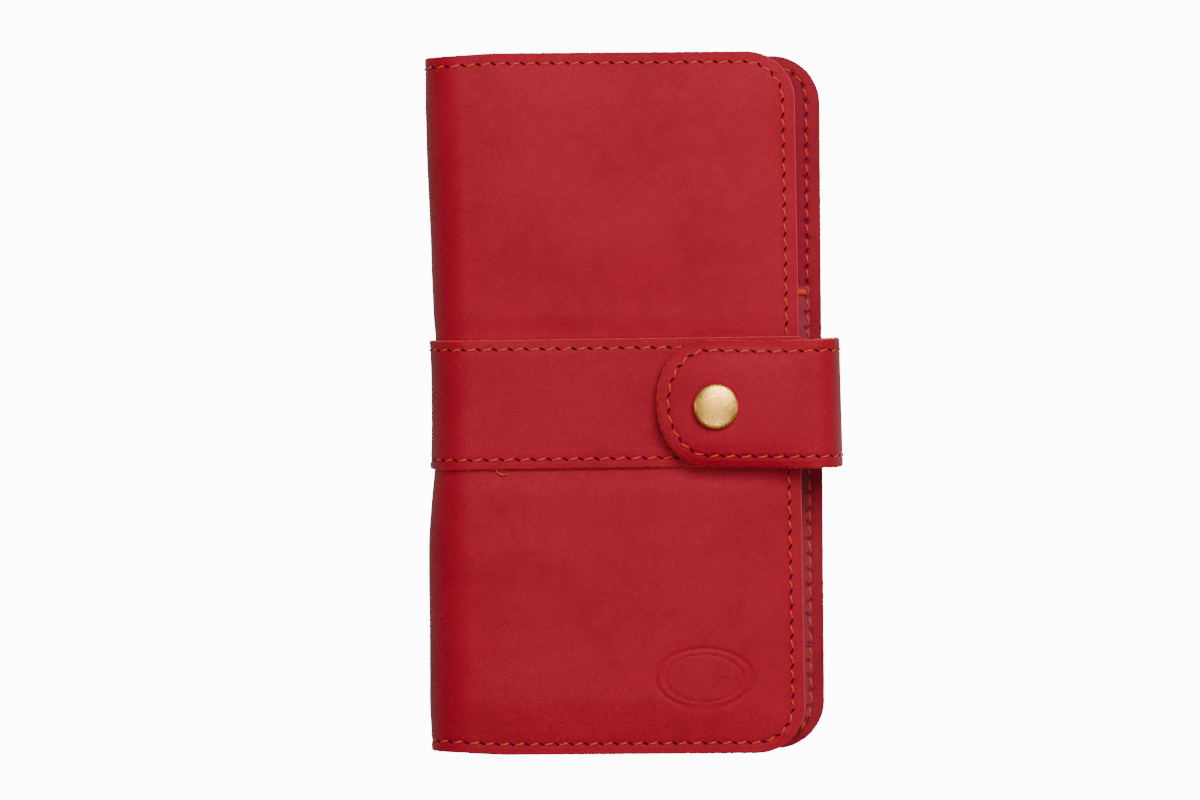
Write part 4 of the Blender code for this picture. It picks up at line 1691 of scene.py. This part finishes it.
@dataclass
class BackCover(Cover):
    """The back cover's hide and lining, which run round the other half of the spine."""

    side_margin: float = 3.9
    pitch: float = 4.24
    swell: float = 0.35
    lining_drop: float = 0.95
    flange: float = 0.62
    front: ClassVar[bool] = False

    def hide(self) -> Sheet:
        """The outer leather, which the case lies on.

        Returns:
            The sheet.
        """
        place = self.layout
        arc = place.spine_arc(place.leather_depth, front=False)
        profile = arc.line(place.back_end, place.leather_depth).close()
        end, strap = profile.length, place.half_strap
        path = self.seam_path(0.0, end, self.corner - self.margin)
        seam = Seam(path, pitch=self.pitch, lean=-0.34, seed=6)

        def relief(s: Array, y: Array) -> Array:
            """A slight swell and soft waves."""
            clear = smooth_step(np.abs(y), strap + 1.0, strap + 22.0)
            body = smooth_step(self.inset(s, y, end), 2.0, 14.0)
            return (self.swell + 0.12 * ripple(s, y, 21, 40.0)) * clear * body

        return self.ply(
            "back_cover_hide", profile, place.leather, relief, seam, fine_s=[(end - 6.0, end, 0.6)]
        )

    def lining(self) -> Sheet:
        """The lining, whose margin shows past the front cover's edge.

        Returns:
            The sheet.
        """
        cad = extent("back_lining")
        profile = self.lining_profile(self.layout.back_end, cad.z1)
        end = profile.length
        path = self.seam_path(self.lining_seam_start, end, self.corner - self.side_margin)
        seam = Seam(path, pitch=self.pitch, seed=7, lean=0.22, groove=0.30)

        def drop(s: Array, y: Array) -> Array:
            """Bring the margins down to meet the hide."""
            margins = 1.0 - smooth_step(self.inset(s, y, end), 1.0, 6.0)
            return -self.lining_drop * margins * smooth_step(s, 9.0, 18.0)

        return self.ply(
            "back_cover_lining", profile, cad.thickness, drop, seam, step=1.8,
            fine_s=[self.spine_mesh, (end - 8.5, end, 0.45)], lean=self.lining_lean,
        )

    def over_flange(self, lining: Sheet) -> Sheet:
        """The face that the inside row is sewn through: the lining, or the gusset's flange on it.

        Args:
            lining: The lining's sheet.

        Returns:
            The same sheet with a face that steps up onto the flange.
        """
        gusset = extent("phone_pocket_gusset")
        step = gusset.z0 + self.flange - extent("back_lining").z1

        def rise(s: Array, y: Array) -> Array:
            """Step up onto the flange below the pocket's mouth."""
            on_flange = 1.0 - smooth_step(y, gusset.y1 - 0.4, gusset.y1 + 0.4)
            past_spine = smooth_step(s, 18.0, 21.0)
            return lining.relief(s, y) * (1.0 - on_flange) + step * on_flange * past_spine

        return replace(lining, relief=rise)

    def build(self) -> list[Piece]:
        """Make the cover's pieces.

        Returns:
            The hide, the lining, their stitches and the fibres at the inside row's holes.
        """
        hide, lining, finishes = self.hide(), self.lining(), self.finishes
        bend, sewn = self.layout.blend_back, self.over_flange(lining)
        made = hide.lay(finishes.grain, "folded", "back_stiffener")
        under = lining.lay(finishes.inner, "folded", "back_stiffener")
        tufts = sewn.tufts("back_seam_tufts", finishes.inner[0], lining.seams[0])
        row = hide.stitches("back_cover_seam", finishes.thread, hide.seams[0])
        inside_row = sewn.stitches("back_lining_seam", finishes.thread, lining.seams[0])
        return [
            Piece(made, Slot.LEATHER, bend=bend, stands_for=["back_cover_leather"]),
            Piece(under, Slot.LINING, bend=bend, stands_for=["back_lining"]),
            Piece(row, Slot.THREAD, bend=bend),
            Piece(inside_row, Slot.THREAD, bend=bend),
            Piece(tufts, Slot.LINING, bend=bend),
        ]


@dataclass
class Pockets:
    """The phone pocket on the back cover, and the note and card pockets on the front one."""

    layout: Layout
    finishes: Finishes
    seam_margin: float = 1.6
    card_count: int = 4
    glue_line: float = 0.05
    lip_rise: float = 0.10
    inner_corner: float = 11.5
    phone_corner: float = 5.3
    gusset_corner: float = 10.2
    gusset_fold: float = 1.2
    gusset_wall: float = 0.9
    bartack_turns: int = 9
    bartack_thread: float = 0.17

    def pocket(self, node: str, body: str, mouth: Mouth, radius: float, seed: int) -> list[Piece]:
        """A flat pocket ply with a stitched border and a free mouth.

        Args:
            node: The CAD node that it stands for.
            body: The body that it rides on.
            mouth: Which side is open.
            radius: Its far corner's radius.
            seed: Which random draws to use.

        Returns:
            The ply and its stitches.
        """
        cad, down, margin = extent(node), body == "front_cover", self.seam_margin
        level = cad.z0 if down else cad.z1
        profile = Profile((cad.x0, level), outer_on_right=down).line(cad.x1, level).close()
        inner, end, bottom = radius - margin, profile.length - margin, cad.y0 + margin
        if mouth is Mouth.TOP:
            path, upper = pocket_path(margin, end, bottom, cad.y1 - 1.0, inner), (0.0, 0.0)
        else:
            path = round_path(1.0, end, bottom, cad.y1 - margin, (inner, inner))
            upper = (radius, radius)
        seam = Seam(path, seed=seed, lean=-0.3 if down else 0.3, groove=0.10)

        def relief(s: Array, y: Array) -> Array:
            """Lift the mouth's lip a little."""
            lip = self.lip_rise * smooth_step(y, cad.y1 - 5.0, cad.y1)
            return lip + 0.03 * ripple(s, y, seed, 22.0)

        ply = Sheet(
            node + "_ply", profile, 0.0, profile.length, cad.y0, cad.y1,
            cad.thickness - self.glue_line, (radius, radius), upper, relief, None, [seam],
            step=1.6, joined_start=False, lean=0.25,
        )
        board = "front_stiffener" if down else "back_stiffener"
        made = ply.lay(self.finishes.lining, "laid", board)
        row = ply.stitches(node + "_seam", self.finishes.thread, seam)
        return [
            Piece(made, Slot.LINING, body, stands_for=[node]),
            Piece(row, Slot.THREAD, body),
        ]

    def gusset_section(self, wide: float, z0: float, z1: float) -> list[Pair]:
        """The gusset's section: a sewn flange, a soft fold and a wall.

        Args:
            wide: How far in from the flange's edge the wall's inner face is, with 0.1 over.
            z0: The flange's underside.
            z1: The wall's top.

        Returns:
            Points as (distance in, z), once round.
        """
        fold, wall, half_up = self.gusset_fold, self.gusset_wall, (z0 + z1) / 2
        section = [(0.0, z0 - 0.2), (0.0, z0 + 0.35), (wide - 1.0 - fold, z0 + 0.55)]
        section += bend_points((wide - 1.0 - fold, z0 + 0.55 + fold), (fold, fold), -90, 0)[::8]
        section += [(wide - 1.25, half_up), (wide - 0.1 - wall, z1), (wide - 0.1, z1)]
        section += [(wide - 0.35, half_up), (wide - 0.1, z0 + 1.2)]
        return section + [(wide - 0.4, z0), (wide - 1.4, z0 - 0.1)]

    def gusset(self) -> Piece:
        """The gusset, swept round three sides of the pocket.

        Returns:
            The piece.
        """
        cad, radius = extent("phone_pocket_gusset"), self.gusset_corner
        wide = extent("phone_pocket_panel").x0 - cad.x0 + 1.0
        path = [(cad.x1, cad.y1), (cad.x1, cad.y0 + radius)]
        path += bend_points((cad.x1 - radius, cad.y0 + radius), (radius, radius), 0, -90)[1:]
        path += [(cad.x0 + 1.0, cad.y0)]
        path += bend_points((cad.x0 + 1.0, cad.y0 + 1.0), (1.0, 1.0), -90, -180)[1:]
        path += [(cad.x0, cad.y1)]
        line = np.array(path)
        ahead = unit(np.gradient(line, axis=0))
        inward = np.stack([ahead[:, 1], -ahead[:, 0]], axis=1)
        points = [
            np.column_stack([line + inward * across, np.full(len(line), level)])
            for across, level in self.gusset_section(wide, cad.z0, cad.z1)
        ]
        grid = np.stack(points, axis=1)
        number = np.arange(grid.shape[0] * grid.shape[1]).reshape(grid.shape[:2])
        faces = ring_walls(number).tolist() + [number[0].tolist(), number[-1][::-1].tolist()]
        name, skin = "phone_pocket_gusset_ply", [self.finishes.lining[0]]
        made = new_mesh(name, grid.reshape(-1, 3), faces, skin)
        store(made, "plan", grid.reshape(-1, 3))
        return Piece(made, Slot.LINING, "back_cover", stands_for=["phone_pocket_gusset"])

    def bartack(self, node: str) -> Piece:
        """A close row of thread turns at an end of the pocket's mouth.

        Args:
            node: The CAD node that it stands for.

        Returns:
            The piece.
        """
        cad = extent(node)
        xs = np.linspace(cad.x0 + 0.15, cad.x1 - 0.15, self.bartack_turns)
        t = np.linspace(0.0, 1.0, 9)
        paths = np.zeros((len(xs), len(t), 3))
        paths[..., 0] = xs[:, None] + 0.10 * (t[None, :] - 0.5)
        paths[..., 1] = (cad.y0 + cad.y1) / 2 + (cad.y1 - cad.y0) * (t[None, :] - 0.5)
        paths[..., 2] = cad.z0 - 0.25 + 0.62 * np.sin(math.pi * t[None, :]) ** 0.5
        up = np.broadcast_to(UP, paths.shape)
        radii = np.full(paths.shape[:2], self.bartack_thread)
        vertices, faces = tubes(paths, radii, up, lobes=0.1)
        made = new_mesh(node + "_thread", vertices, faces, [self.finishes.thread])
        return Piece(made, Slot.THREAD, "back_cover", stands_for=[node])

    def build(self) -> list[Piece]:
        """Make every pocket.

        Returns:
            The gusset, the bartacks, and each pocket's ply and stitches.
        """
        far, phone = self.inner_corner, self.phone_corner
        pieces = [self.gusset(), self.bartack("bartack_left"), self.bartack("bartack_right")]
        pieces += self.pocket("phone_pocket_panel", "back_cover", Mouth.TOP, phone, 31)
        pieces += self.pocket("slip_pocket_panel", "front_cover", Mouth.SPINE, far, 32)
        for number in range(1, self.card_count + 1):
            card = f"card_pocket_{number}"
            pieces += self.pocket(card, "front_cover", Mouth.TOP, far, 40 + number)
        return pieces


@dataclass
class Strap:
    """The strap: sewn across both covers and round the spine, with a free tab that snaps down."""

    layout: Layout
    finishes: Finishes
    shape: SpineShape
    row: float = 2.7
    tab_row: float = 3.2
    back_split: float = 60.0
    side_split: float = 7.0
    edge_rough: float = 0.07
    edge_dip: float = 0.34
    tip_length: float = 13.2
    tip_droop: float = 2.1
    edge_droop: float = 3.2
    snap_dent: float = 0.30
    crown: float = 0.25
    wander: float = -0.6
    fold_radius: float = 4.0
    side_bend_top: float = 5.5
    tab_bend: Pair = (11.3, 1.6)
    shoulder_level: float = 10.0
    shoulder_width: float = 13.0
    fullness: float = 3.4
    backing_begin: float = -70.0
    backing_gap: float = 0.3
    socket_gap: float = 0.3
    fibre_count: int = 110
    fibre_radius: float = 0.055
    loose_from_spine: float = 18.6
    loose_thread: float = 0.19

    def __post_init__(self) -> None:
        """Read the tab's places from the frame."""
        tab = extent("strap_tab_leather")
        self.fold_x = extent("strap_side_leather").x1
        self.tip_x, self.tab_top = tab.x0, tab.z1
        under_tab = extent("strap_tab_backing").z1 - extent("snap_socket").z1
        self.backing = under_tab - self.socket_gap
        self.half = self.layout.half_strap

    def straight_seams(self, start: float, end: float, seed: int) -> list[Seam]:
        """The two rows of a length of strap, each with the strap's edge on its left.

        Args:
            start: Where along the strap they start.
            end: Where they end.
            seed: Which random draws the first one uses.

        Returns:
            The upper row and the lower one.
        """
        reach = self.half - self.row
        upper = np.array([(start, reach), (end, reach)])
        lower = np.array([(end, -reach), (start, -reach)])
        return [Seam(upper, seed=seed), Seam(lower, seed=seed + 1)]

    def ply(self, name: str, profile: Profile, thickness: float, **more: Any) -> Sheet:
        """A sheet as wide as the strap, along a whole profile."""
        return Sheet(name, profile, 0.0, profile.length, -self.half, self.half, thickness, **more)

    def front_band(self) -> Sheet:
        """The strap from the middle of the spine across the front cover.

        Returns:
            The sheet.
        """
        place = self.layout
        arc = place.spine_arc(0.0, front=True)
        profile = arc.line(extent("strap_front_band").x1, 2.0 * place.middle).close()

        def relief(s: Array, y: Array) -> Array:
            """Dip a little along the edges, and wave softly."""
            edge = smooth_step(np.abs(y), self.half - 4.0, self.half)
            waves = 0.06 * ripple(s, y, 52, 40.0) * smooth_step(s, 14.0, 30.0)
            return waves - self.edge_dip * edge

        return self.ply(
            "strap_front_ply", profile, place.strap, corner_low=(1.0, 1.0), corner_high=(1.0, 1.0),
            relief=relief, shift=self.shape.band(True, self.half),
            seams=self.straight_seams(0.0, profile.length - 1.0, 50), step=0.8,
            rough=self.edge_rough,
        )

    def back_band(self) -> Sheet:
        """The strap from the middle of the spine to halfway across the back cover.

        Returns:
            The sheet.
        """
        place = self.layout
        arc = place.spine_arc(0.0, front=False)
        profile = arc.line(place.spine_x + self.back_split, 0.0).close()
        return self.ply(
            "strap_back_ply", profile, place.strap, shift=self.shape.band(False, self.half),
            seams=self.straight_seams(0.0, profile.length, 54), step=0.9, joined_end=True,
            rough=self.edge_rough,
        )

    def side(self) -> Sheet:
        """The strap from halfway across the back, round the lower bend and up the opening edge.

        Returns:
            The sheet.
        """
        radius = self.fold_radius
        centre = (self.fold_x - radius, radius)
        profile = Profile((self.layout.spine_x + self.back_split, 0.0), outer_on_right=True)
        profile.line(centre[0], 0.0).arc(centre, (radius, radius), -90.0, 0.0)
        end = profile.line(self.fold_x, self.side_split).close().length
        return self.ply(
            "strap_side_ply", profile, self.layout.strap, seams=self.straight_seams(0.0, end, 56),
            step=0.9, joined_end=True, rough=self.edge_rough, fine_s=[(end - 12.0, end, 0.5)],
        )

    def tab_profile(self, depth: float) -> Profile:
        """A profile from the split up the opening edge, over the shoulder and back to the tip.

        Args:
            depth: How deep it runs under the strap's outer face.

        Returns:
            The finished profile.
        """
        x, level = self.fold_x - depth, self.shoulder_level
        centre = (self.fold_x - self.shoulder_width, level)
        radii = (self.shoulder_width - depth, self.tab_top - level - depth)
        profile = Profile((x, self.side_split), outer_on_right=True)
        profile.line(x, level).shoulder(centre, radii, self.fullness)
        return profile.line(self.tip_x, self.tab_top - depth).close()

    def tab_shape(self, depth: float) -> tuple[Profile, Relief, Shift]:
        """How the tab lies: domed over the snap, drooping at its tip and long edges.

        Args:
            depth: How deep the ply lies under the strap's outer face.

        Returns:
            The ply's profile, relief and shift.
        """
        profile = self.tab_profile(depth)
        end = profile.length
        snap_s = end - (self.layout.snap[0] - self.tip_x)

        def relief(s: Array, y: Array) -> Array:
            """Height above the level tab.

            Args:
                s: Distances along the tab.
                y: Distances across it.

            Returns:
                The height at each point.
            """
            to_tip = smooth_step(s, snap_s - 2.0, end + 3.0)
            flat_part = smooth_step(s, end - 48.0, end - 30.0)
            long_edges = (np.abs(y) / self.half) ** 4 * flat_part
            droop = -self.tip_droop * to_tip - self.edge_droop * long_edges
            round_snap = np.hypot(s - snap_s, y - self.layout.snap[1])
            dent = -self.snap_dent * np.exp(-((round_snap / 8.2) ** 4))
            crown = self.crown * hill(s, y, (snap_s - 16.0, 0.0), (9.0, 13.0))
            crown = crown + 0.05 * ripple(s, y, 61, 24.0) * flat_part
            return droop + dent + crown

        def shift(s: Array, y: Array, normal: Array) -> Array:
            """Let the tab wander sideways between its fold and its tip.

            Args:
                s: Distances along the tab.
                y: Distances across it.
                normal: Its outward normals, as (x, z).

            Returns:
                The shift of each point.
            """
            moved = np.zeros(s.shape + (3,))
            wander = self.wander * np.exp(-(((s - (end - 36.0)) / 20.0) ** 2))
            moved[..., 1] = wander - 0.012 * y * smooth_step(s, 0, 30)
            near_fold = (1.0 - smooth_step(s, 6.0, 30.0)) * smooth_step(s, 0.0, 5.0)
            moved[..., 0] = -0.022 * y * near_fold
            return moved

        return profile, relief, shift

    def tab(self) -> Sheet:
        """The tab's leather.

        Returns:
            The sheet.
        """
        profile, relief, shift = self.tab_shape(0.0)
        row, corner = self.tab_row, (self.tip_length, self.half)
        reach = self.half - row
        turn = (self.tip_length - row * 0.6, reach)
        path = round_path(0.0, profile.length - row, -reach, reach, turn)
        return self.ply(
            "strap_tab_ply", profile, self.layout.strap, corner_low=corner, corner_high=corner,
            relief=relief, shift=shift, seams=[Seam(path, lean=-0.36, seed=60)], step=0.62,
            rough=0.13, lean=0.52,
        )

    def backings(self) -> tuple[Sheet, Sheet]:
        """The thin plies behind the side and the tab.

        Returns:
            The side's sheet and the tab's.
        """
        depth = self.layout.strap + self.backing_gap
        fold, begin = self.fold_radius, self.backing_begin
        centre, radius = (self.fold_x - fold, fold), fold - depth
        angle = math.radians(begin)
        start = (centre[0] + radius * math.cos(angle), centre[1] + radius * math.sin(angle))
        side = Profile(start, outer_on_right=True).arc(centre, (radius, radius), begin, 0.0)
        side = side.line(self.fold_x - depth, self.side_split).close()
        lower = self.ply(
            "strap_side_backing_ply", side, self.backing, step=0.8, joined_start=False,
            joined_end=True,
        )
        profile, relief, shift = self.tab_shape(depth)
        corner = (self.tip_length, self.half)
        upper = self.ply(
            "strap_tab_backing_ply", profile, self.backing, corner_low=corner, corner_high=corner,
            relief=relief, shift=shift, step=1.0, rough=0.11,
        )
        return lower, upper

    def fringe(self, sheet: Sheet, name: str) -> Object:
        """Loose fibres that stand out of the tab's cut edge.

        Args:
            sheet: The tab's leather.
            name: The piece's name.

        Returns:
            The new object.
        """
        rng = np.random.default_rng(71)
        count = self.fibre_count
        start, end = 12.0, sheet.end - self.tip_length - 2.0
        s = start + (end - start) * rng.uniform(0.0, 1.0, count) ** 0.8
        side = np.where(rng.uniform(0.0, 1.0, count) < 0.72, -1.0, 1.0)
        face, normal = sheet.surface(s, side * (self.half - 0.25))
        t = np.linspace(0.0, 1.0, 5)[None, :, None]
        out = np.stack([rng.uniform(-0.7, 0.7, count), side, rng.uniform(-0.5, 0.3, count)], axis=1)
        length = rng.uniform(0.30, 0.85, count)[:, None, None]
        base = face - normal * rng.uniform(0.5, 1.2, count)[:, None]
        curl = rng.uniform(-0.35, 0.35, (count, 1, 3))
        paths = base[:, None, :] + out[:, None, :] * t * length + curl * t * t * length
        radii = self.fibre_radius * (1.0 - 0.75 * t[..., 0]) * np.ones((count, 1))
        up = np.broadcast_to(normal[:, None, :], paths.shape)
        vertices, faces = tubes(paths, radii, up, sides=5)
        made = new_mesh(name, vertices, faces, [self.finishes.fluff])
        store(made, "plan", vertices)
        return made

    def loose_end(self) -> Object:
        """A short thread end that pokes out under the strap's lower edge.

        Returns:
            The new object.
        """
        start = np.array([
            self.layout.spine_x + self.loose_from_spine, -self.half, self.layout.front_top + 0.35
        ])
        points = np.array([
            (0.0, 0.6, 0.0), (0.4, -0.6, 0.1), (1.3, -1.5, 0.05), (2.6, -1.7, 0.25),
            (3.9, -1.3, 0.15),
        ])
        path, steps = points + start, 26
        t = np.linspace(0.0, len(points) - 1.0, steps)
        smooth = np.stack([np.interp(t, range(len(points)), path[:, k]) for k in range(3)], axis=1)
        for _ in range(4):
            smooth[1:-1] = (smooth[:-2] + 2.0 * smooth[1:-1] + smooth[2:]) / 4.0
        up = np.broadcast_to(UP, (1, steps, 3))
        radii = np.full((1, steps), self.loose_thread)
        vertices, faces = tubes(smooth[None], radii, up, lobes=0.15)
        return new_mesh("loose_thread_end", vertices, faces, [self.finishes.thread])

    def blend_side(self, made: Object) -> None:
        """Bake a piece's transform into its mesh."""
        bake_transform(made)

    def blend_tab(self, made: Object) -> None:
        """Bake a piece's transform into its mesh.

        Args:
            made: The piece.
        """
        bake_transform(made)

    def sewn(self, sheet: Sheet, bend: Bend, stands_for: Sequence[str]) -> list[Piece]:
        """Build one length of strap and its rows of stitches.

        Args:
            sheet: The leather, with its seams.
            bend: What fits its pieces in place, which bakes their transforms.
            stands_for: The CAD nodes that the leather replaces.

        Returns:
            The leather and each row.
        """
        ply = sheet.lay(self.finishes.grain, "folded", "front_stiffener")
        pieces = [Piece(ply, Slot.LEATHER, bend=bend, stands_for=stands_for)]
        for number, seam in enumerate(sheet.seams, 1):
            row = sheet.stitches(f"{sheet.name}_seam_{number}", self.finishes.thread, seam)
            pieces.append(Piece(row, Slot.THREAD, bend=bend))
        return pieces

    def build(self) -> list[Piece]:
        """Make the strap's pieces.

        Returns:
            Each length with its stitches, the backings, the edge's fibres and the loose end.
        """
        front, back = self.layout.blend_front, self.layout.blend_back
        pieces = self.sewn(self.front_band(), front, ["strap_front_band", "strap_spine_band"])
        pieces += self.sewn(self.back_band(), back, ["strap_back_band"])
        pieces += self.sewn(self.side(), self.blend_side, ["strap_side_leather"])
        tab = self.tab()
        pieces += self.sewn(tab, self.blend_tab, ["strap_tab_leather"])
        plies = zip(self.backings(), (self.blend_side, self.blend_tab), ("side", "tab"))
        for sheet, bend, part in plies:
            made = sheet.build(self.finishes.raw)
            pieces.append(Piece(made, Slot.RAW, bend=bend, stands_for=[f"strap_{part}_backing"]))
        fibres = self.fringe(tab, "tab_edge_fibres")
        pieces.append(Piece(fibres, Slot.RAW, bend=self.blend_tab))
        pieces.append(Piece(self.loose_end(), Slot.THREAD, "front_cover"))
        return pieces


@dataclass
class Snap:
    """The snap fastener: cap, socket and stud."""

    layout: Layout
    finishes: Finishes
    rim: float = 0.55
    dome_rise: float = 1.0
    rivet: float = 1.4
    socket_bore: float = 3.7
    stud_head: Pair = (0.9, 0.85)

    def cap(self) -> Object:
        """The cap: a low dome with a rolled rim, and its rivet.

        Returns:
            The new object.
        """
        cad, rim, rise = extent("snap_cap"), self.rim, self.dome_rise
        radius, base, top = cad.radius, extent("strap_tab_leather").z1, cad.z1
        dome = [(0.0, top)]
        dome += [(r * radius, top - rise * r ** 2.4) for r in np.linspace(0.08, 0.84, 16)]
        rolled = (rim, top - rise - base - 0.42)
        dome += bend_points((radius - rim, base + 0.55), rolled, 66, -90)[::3]
        dome += [(radius - 0.9, base - 0.33), (self.rivet, base - 0.33)]
        dome += [(self.rivet, cad.z0), (0.0, cad.z0)]
        return turned("snap_cap_dome", dome, self.layout.snap, self.finishes.brass)

    def socket(self) -> Object:
        """The socket: a plate with a rolled lip and a bored ring.

        Returns:
            The new object.
        """
        cad, bore = extent("snap_socket"), self.socket_bore
        radius, bottom, top = cad.radius, cad.z0, cad.z1
        shape = [(0.0, top), (radius - 0.3, top)]
        shape += bend_points((radius - 0.3, top - 0.3), (0.3, 0.3), 80, -90)[::5]
        shape += [(radius - 0.9, top - 0.62), (radius - 1.3, bottom + 0.3), (radius - 1.6, bottom)]
        shape += [(bore + 0.1, bottom), (bore, bottom + 0.2), (bore, top - 0.5), (0.0, top - 0.5)]
        return turned("snap_socket_ring", shape, self.layout.snap, self.finishes.brass)

    def stud(self) -> Object:
        """The stud: a flange, a neck and a round head.

        Returns:
            The new object.
        """
        cad = extent("snap_stud")
        radius, bottom, top = cad.radius, cad.z0, cad.z1
        shape = [(0.0, top), (0.7, top), (0.9, top - 0.12)]
        shape += bend_points((1.5, top - self.stud_head[1]), self.stud_head, 85, -50)[::3]
        shape += [(1.9, bottom + 0.9), (2.2, bottom + 0.6), (radius - 0.4, bottom + 0.48)]
        shape += bend_points((radius - 0.25, bottom + 0.25), (0.25, 0.25), 75, -80)[::5]
        shape += [(0.0, bottom)]
        return turned("snap_stud_head", shape, self.layout.snap, self.finishes.brass)

    def build(self) -> list[Piece]:
        """Make the snap's pieces.

        Returns:
            The cap, the socket and the stud.
        """
        return [
            Piece(self.cap(), Slot.BRASS, "strap_tab", stands_for=["snap_cap"]),
            Piece(self.socket(), Slot.BRASS, "strap_tab", stands_for=["snap_socket"]),
            Piece(self.stud(), Slot.BRASS, "front_cover", stands_for=["snap_stud"]),
        ]


@dataclass
class CarriedOver:
    """The CAD pieces that keep their own shape and only get a finish."""

    frame: dict[str, Any]
    finishes: Finishes

    def dress(self) -> None:
        """Give each its finish."""
        chosen = {
            "back_stiffener": self.finishes.board,
            "front_stiffener": self.finishes.board,
            "snap_stud_post": self.finishes.brass,
            "snap_spring": self.finishes.steel,
        }
        for node, material in chosen.items():
            thing = self.frame["nodes"][node]
            if not thing.material_slots:
                thing.data.materials.append(material)
            for held in thing.material_slots:
                held.material = material
            log.info("dressed %s", node)


@dataclass(frozen=True)
class SoftBox:
    """A soft rectangular light that looks at the case."""

    name: str
    place: Triple
    size: Pair
    watts: float

    def build(self) -> None:
        """Hang the light."""
        data = bpy.data.lights.new(self.name, "AREA")
        data.shape = "RECTANGLE"
        data.size, data.size_y = self.size[0] * MM, self.size[1] * MM
        data.energy = self.watts
        made = bpy.data.objects.new(self.name, data)
        made.location = np.array(self.place) * MM
        made.rotation_euler = (made.location * -1.0).to_track_quat("-Z", "Y").to_euler()
        bpy.context.scene.collection.objects.link(made)


@dataclass
class Studio:
    """The floor, the lights and the camera."""

    layout: Layout
    camera_height: float = 1200.0
    lens: float = 129.6
    sensor: float = 36.0
    aim: Pair = (-9.74, 0.94)
    roll: float = -0.45
    floor_half: float = 3000.0
    floor_level: float = -0.05
    floor_glow: Pair = (12.0, 0.05)
    world_light: float = 0.16
    lights: Sequence[SoftBox] = (
        SoftBox("key_light", (250.0, 540.0, 840.0), (620.0, 460.0), 14.5),
        SoftBox("cap_light", (10.0, 230.0, 900.0), (100.0, 70.0), 1.3),
        SoftBox("fill_light", (0.0, -520.0, 880.0), (700.0, 260.0), 3.2),
        SoftBox("top_light", (0.0, 60.0, 1500.0), (900.0, 900.0), 4.4),
        SoftBox("left_light", (-780.0, 60.0, 420.0), (160.0, 700.0), 0.7),
        SoftBox("right_light", (780.0, -40.0, 420.0), (160.0, 700.0), 0.9),
    )

    def floor(self) -> None:
        """Lay a plain pale floor."""
        half, level = self.floor_half, self.floor_level
        around = ((-half, -half), (half, -half), (half, half), (-half, half))
        corners = np.array([(x, y, level) for x, y in around])
        made, graph, shader = start_material("white_floor")
        shader.inputs["Base Color"].default_value = (0.40, 0.40, 0.40, 1.0)
        shader.inputs["Roughness"].default_value = 0.9
        shader.inputs["Specular IOR Level"].default_value = 0.1
        shader.inputs["Emission Color"].default_value = WHITE
        seen = graph.node("LightPath").outputs["Is Camera Ray"]
        glow = graph.math("MULTIPLY_ADD", seen, *self.floor_glow)
        graph.set(shader, Emission_Strength=glow)
        new_mesh("floor", corners, [[0, 1, 2, 3]], [made])

    def camera(self) -> None:
        """Set the camera straight above."""
        data = bpy.data.cameras.new("camera")
        data.lens = self.lens
        data.sensor_width = self.sensor
        made = bpy.data.objects.new("camera", data)
        height = self.layout.front_top + self.camera_height
        made.location = (self.aim[0] * MM, self.aim[1] * MM, height * MM)
        made.rotation_euler = (0.0, 0.0, math.radians(self.roll))
        bpy.context.scene.collection.objects.link(made)
        bpy.context.scene.camera = made

    def build(self) -> None:
        """Set the whole studio up."""
        self.camera()
        self.floor()
        for light in self.lights:
            light.build()
        world = bpy.data.worlds.new("studio")
        world.use_nodes = True
        background = world.node_tree.nodes["Background"]
        background.inputs["Color"].default_value = WHITE
        background.inputs["Strength"].default_value = self.world_light
        bpy.context.scene.world = world


def main() -> None:
    """Load the frame and build the case round it."""
    logging.basicConfig(level=logging.INFO, format="%(message)s")
    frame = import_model()
    layout, finishes, shape = Layout(), Finishes(), SpineShape()
    Studio(layout).build()
    pieces = FrontCover(layout, finishes, shape).build()
    pieces += BackCover(layout, finishes, shape).build()
    pieces += Pockets(layout, finishes).build()
    pieces += Strap(layout, finishes, shape).build()
    pieces += Snap(layout, finishes).build()
    for piece in pieces:
        piece.fit()
    CarriedOver(frame, finishes).dress()


if __name__ == "__main__":
    main()
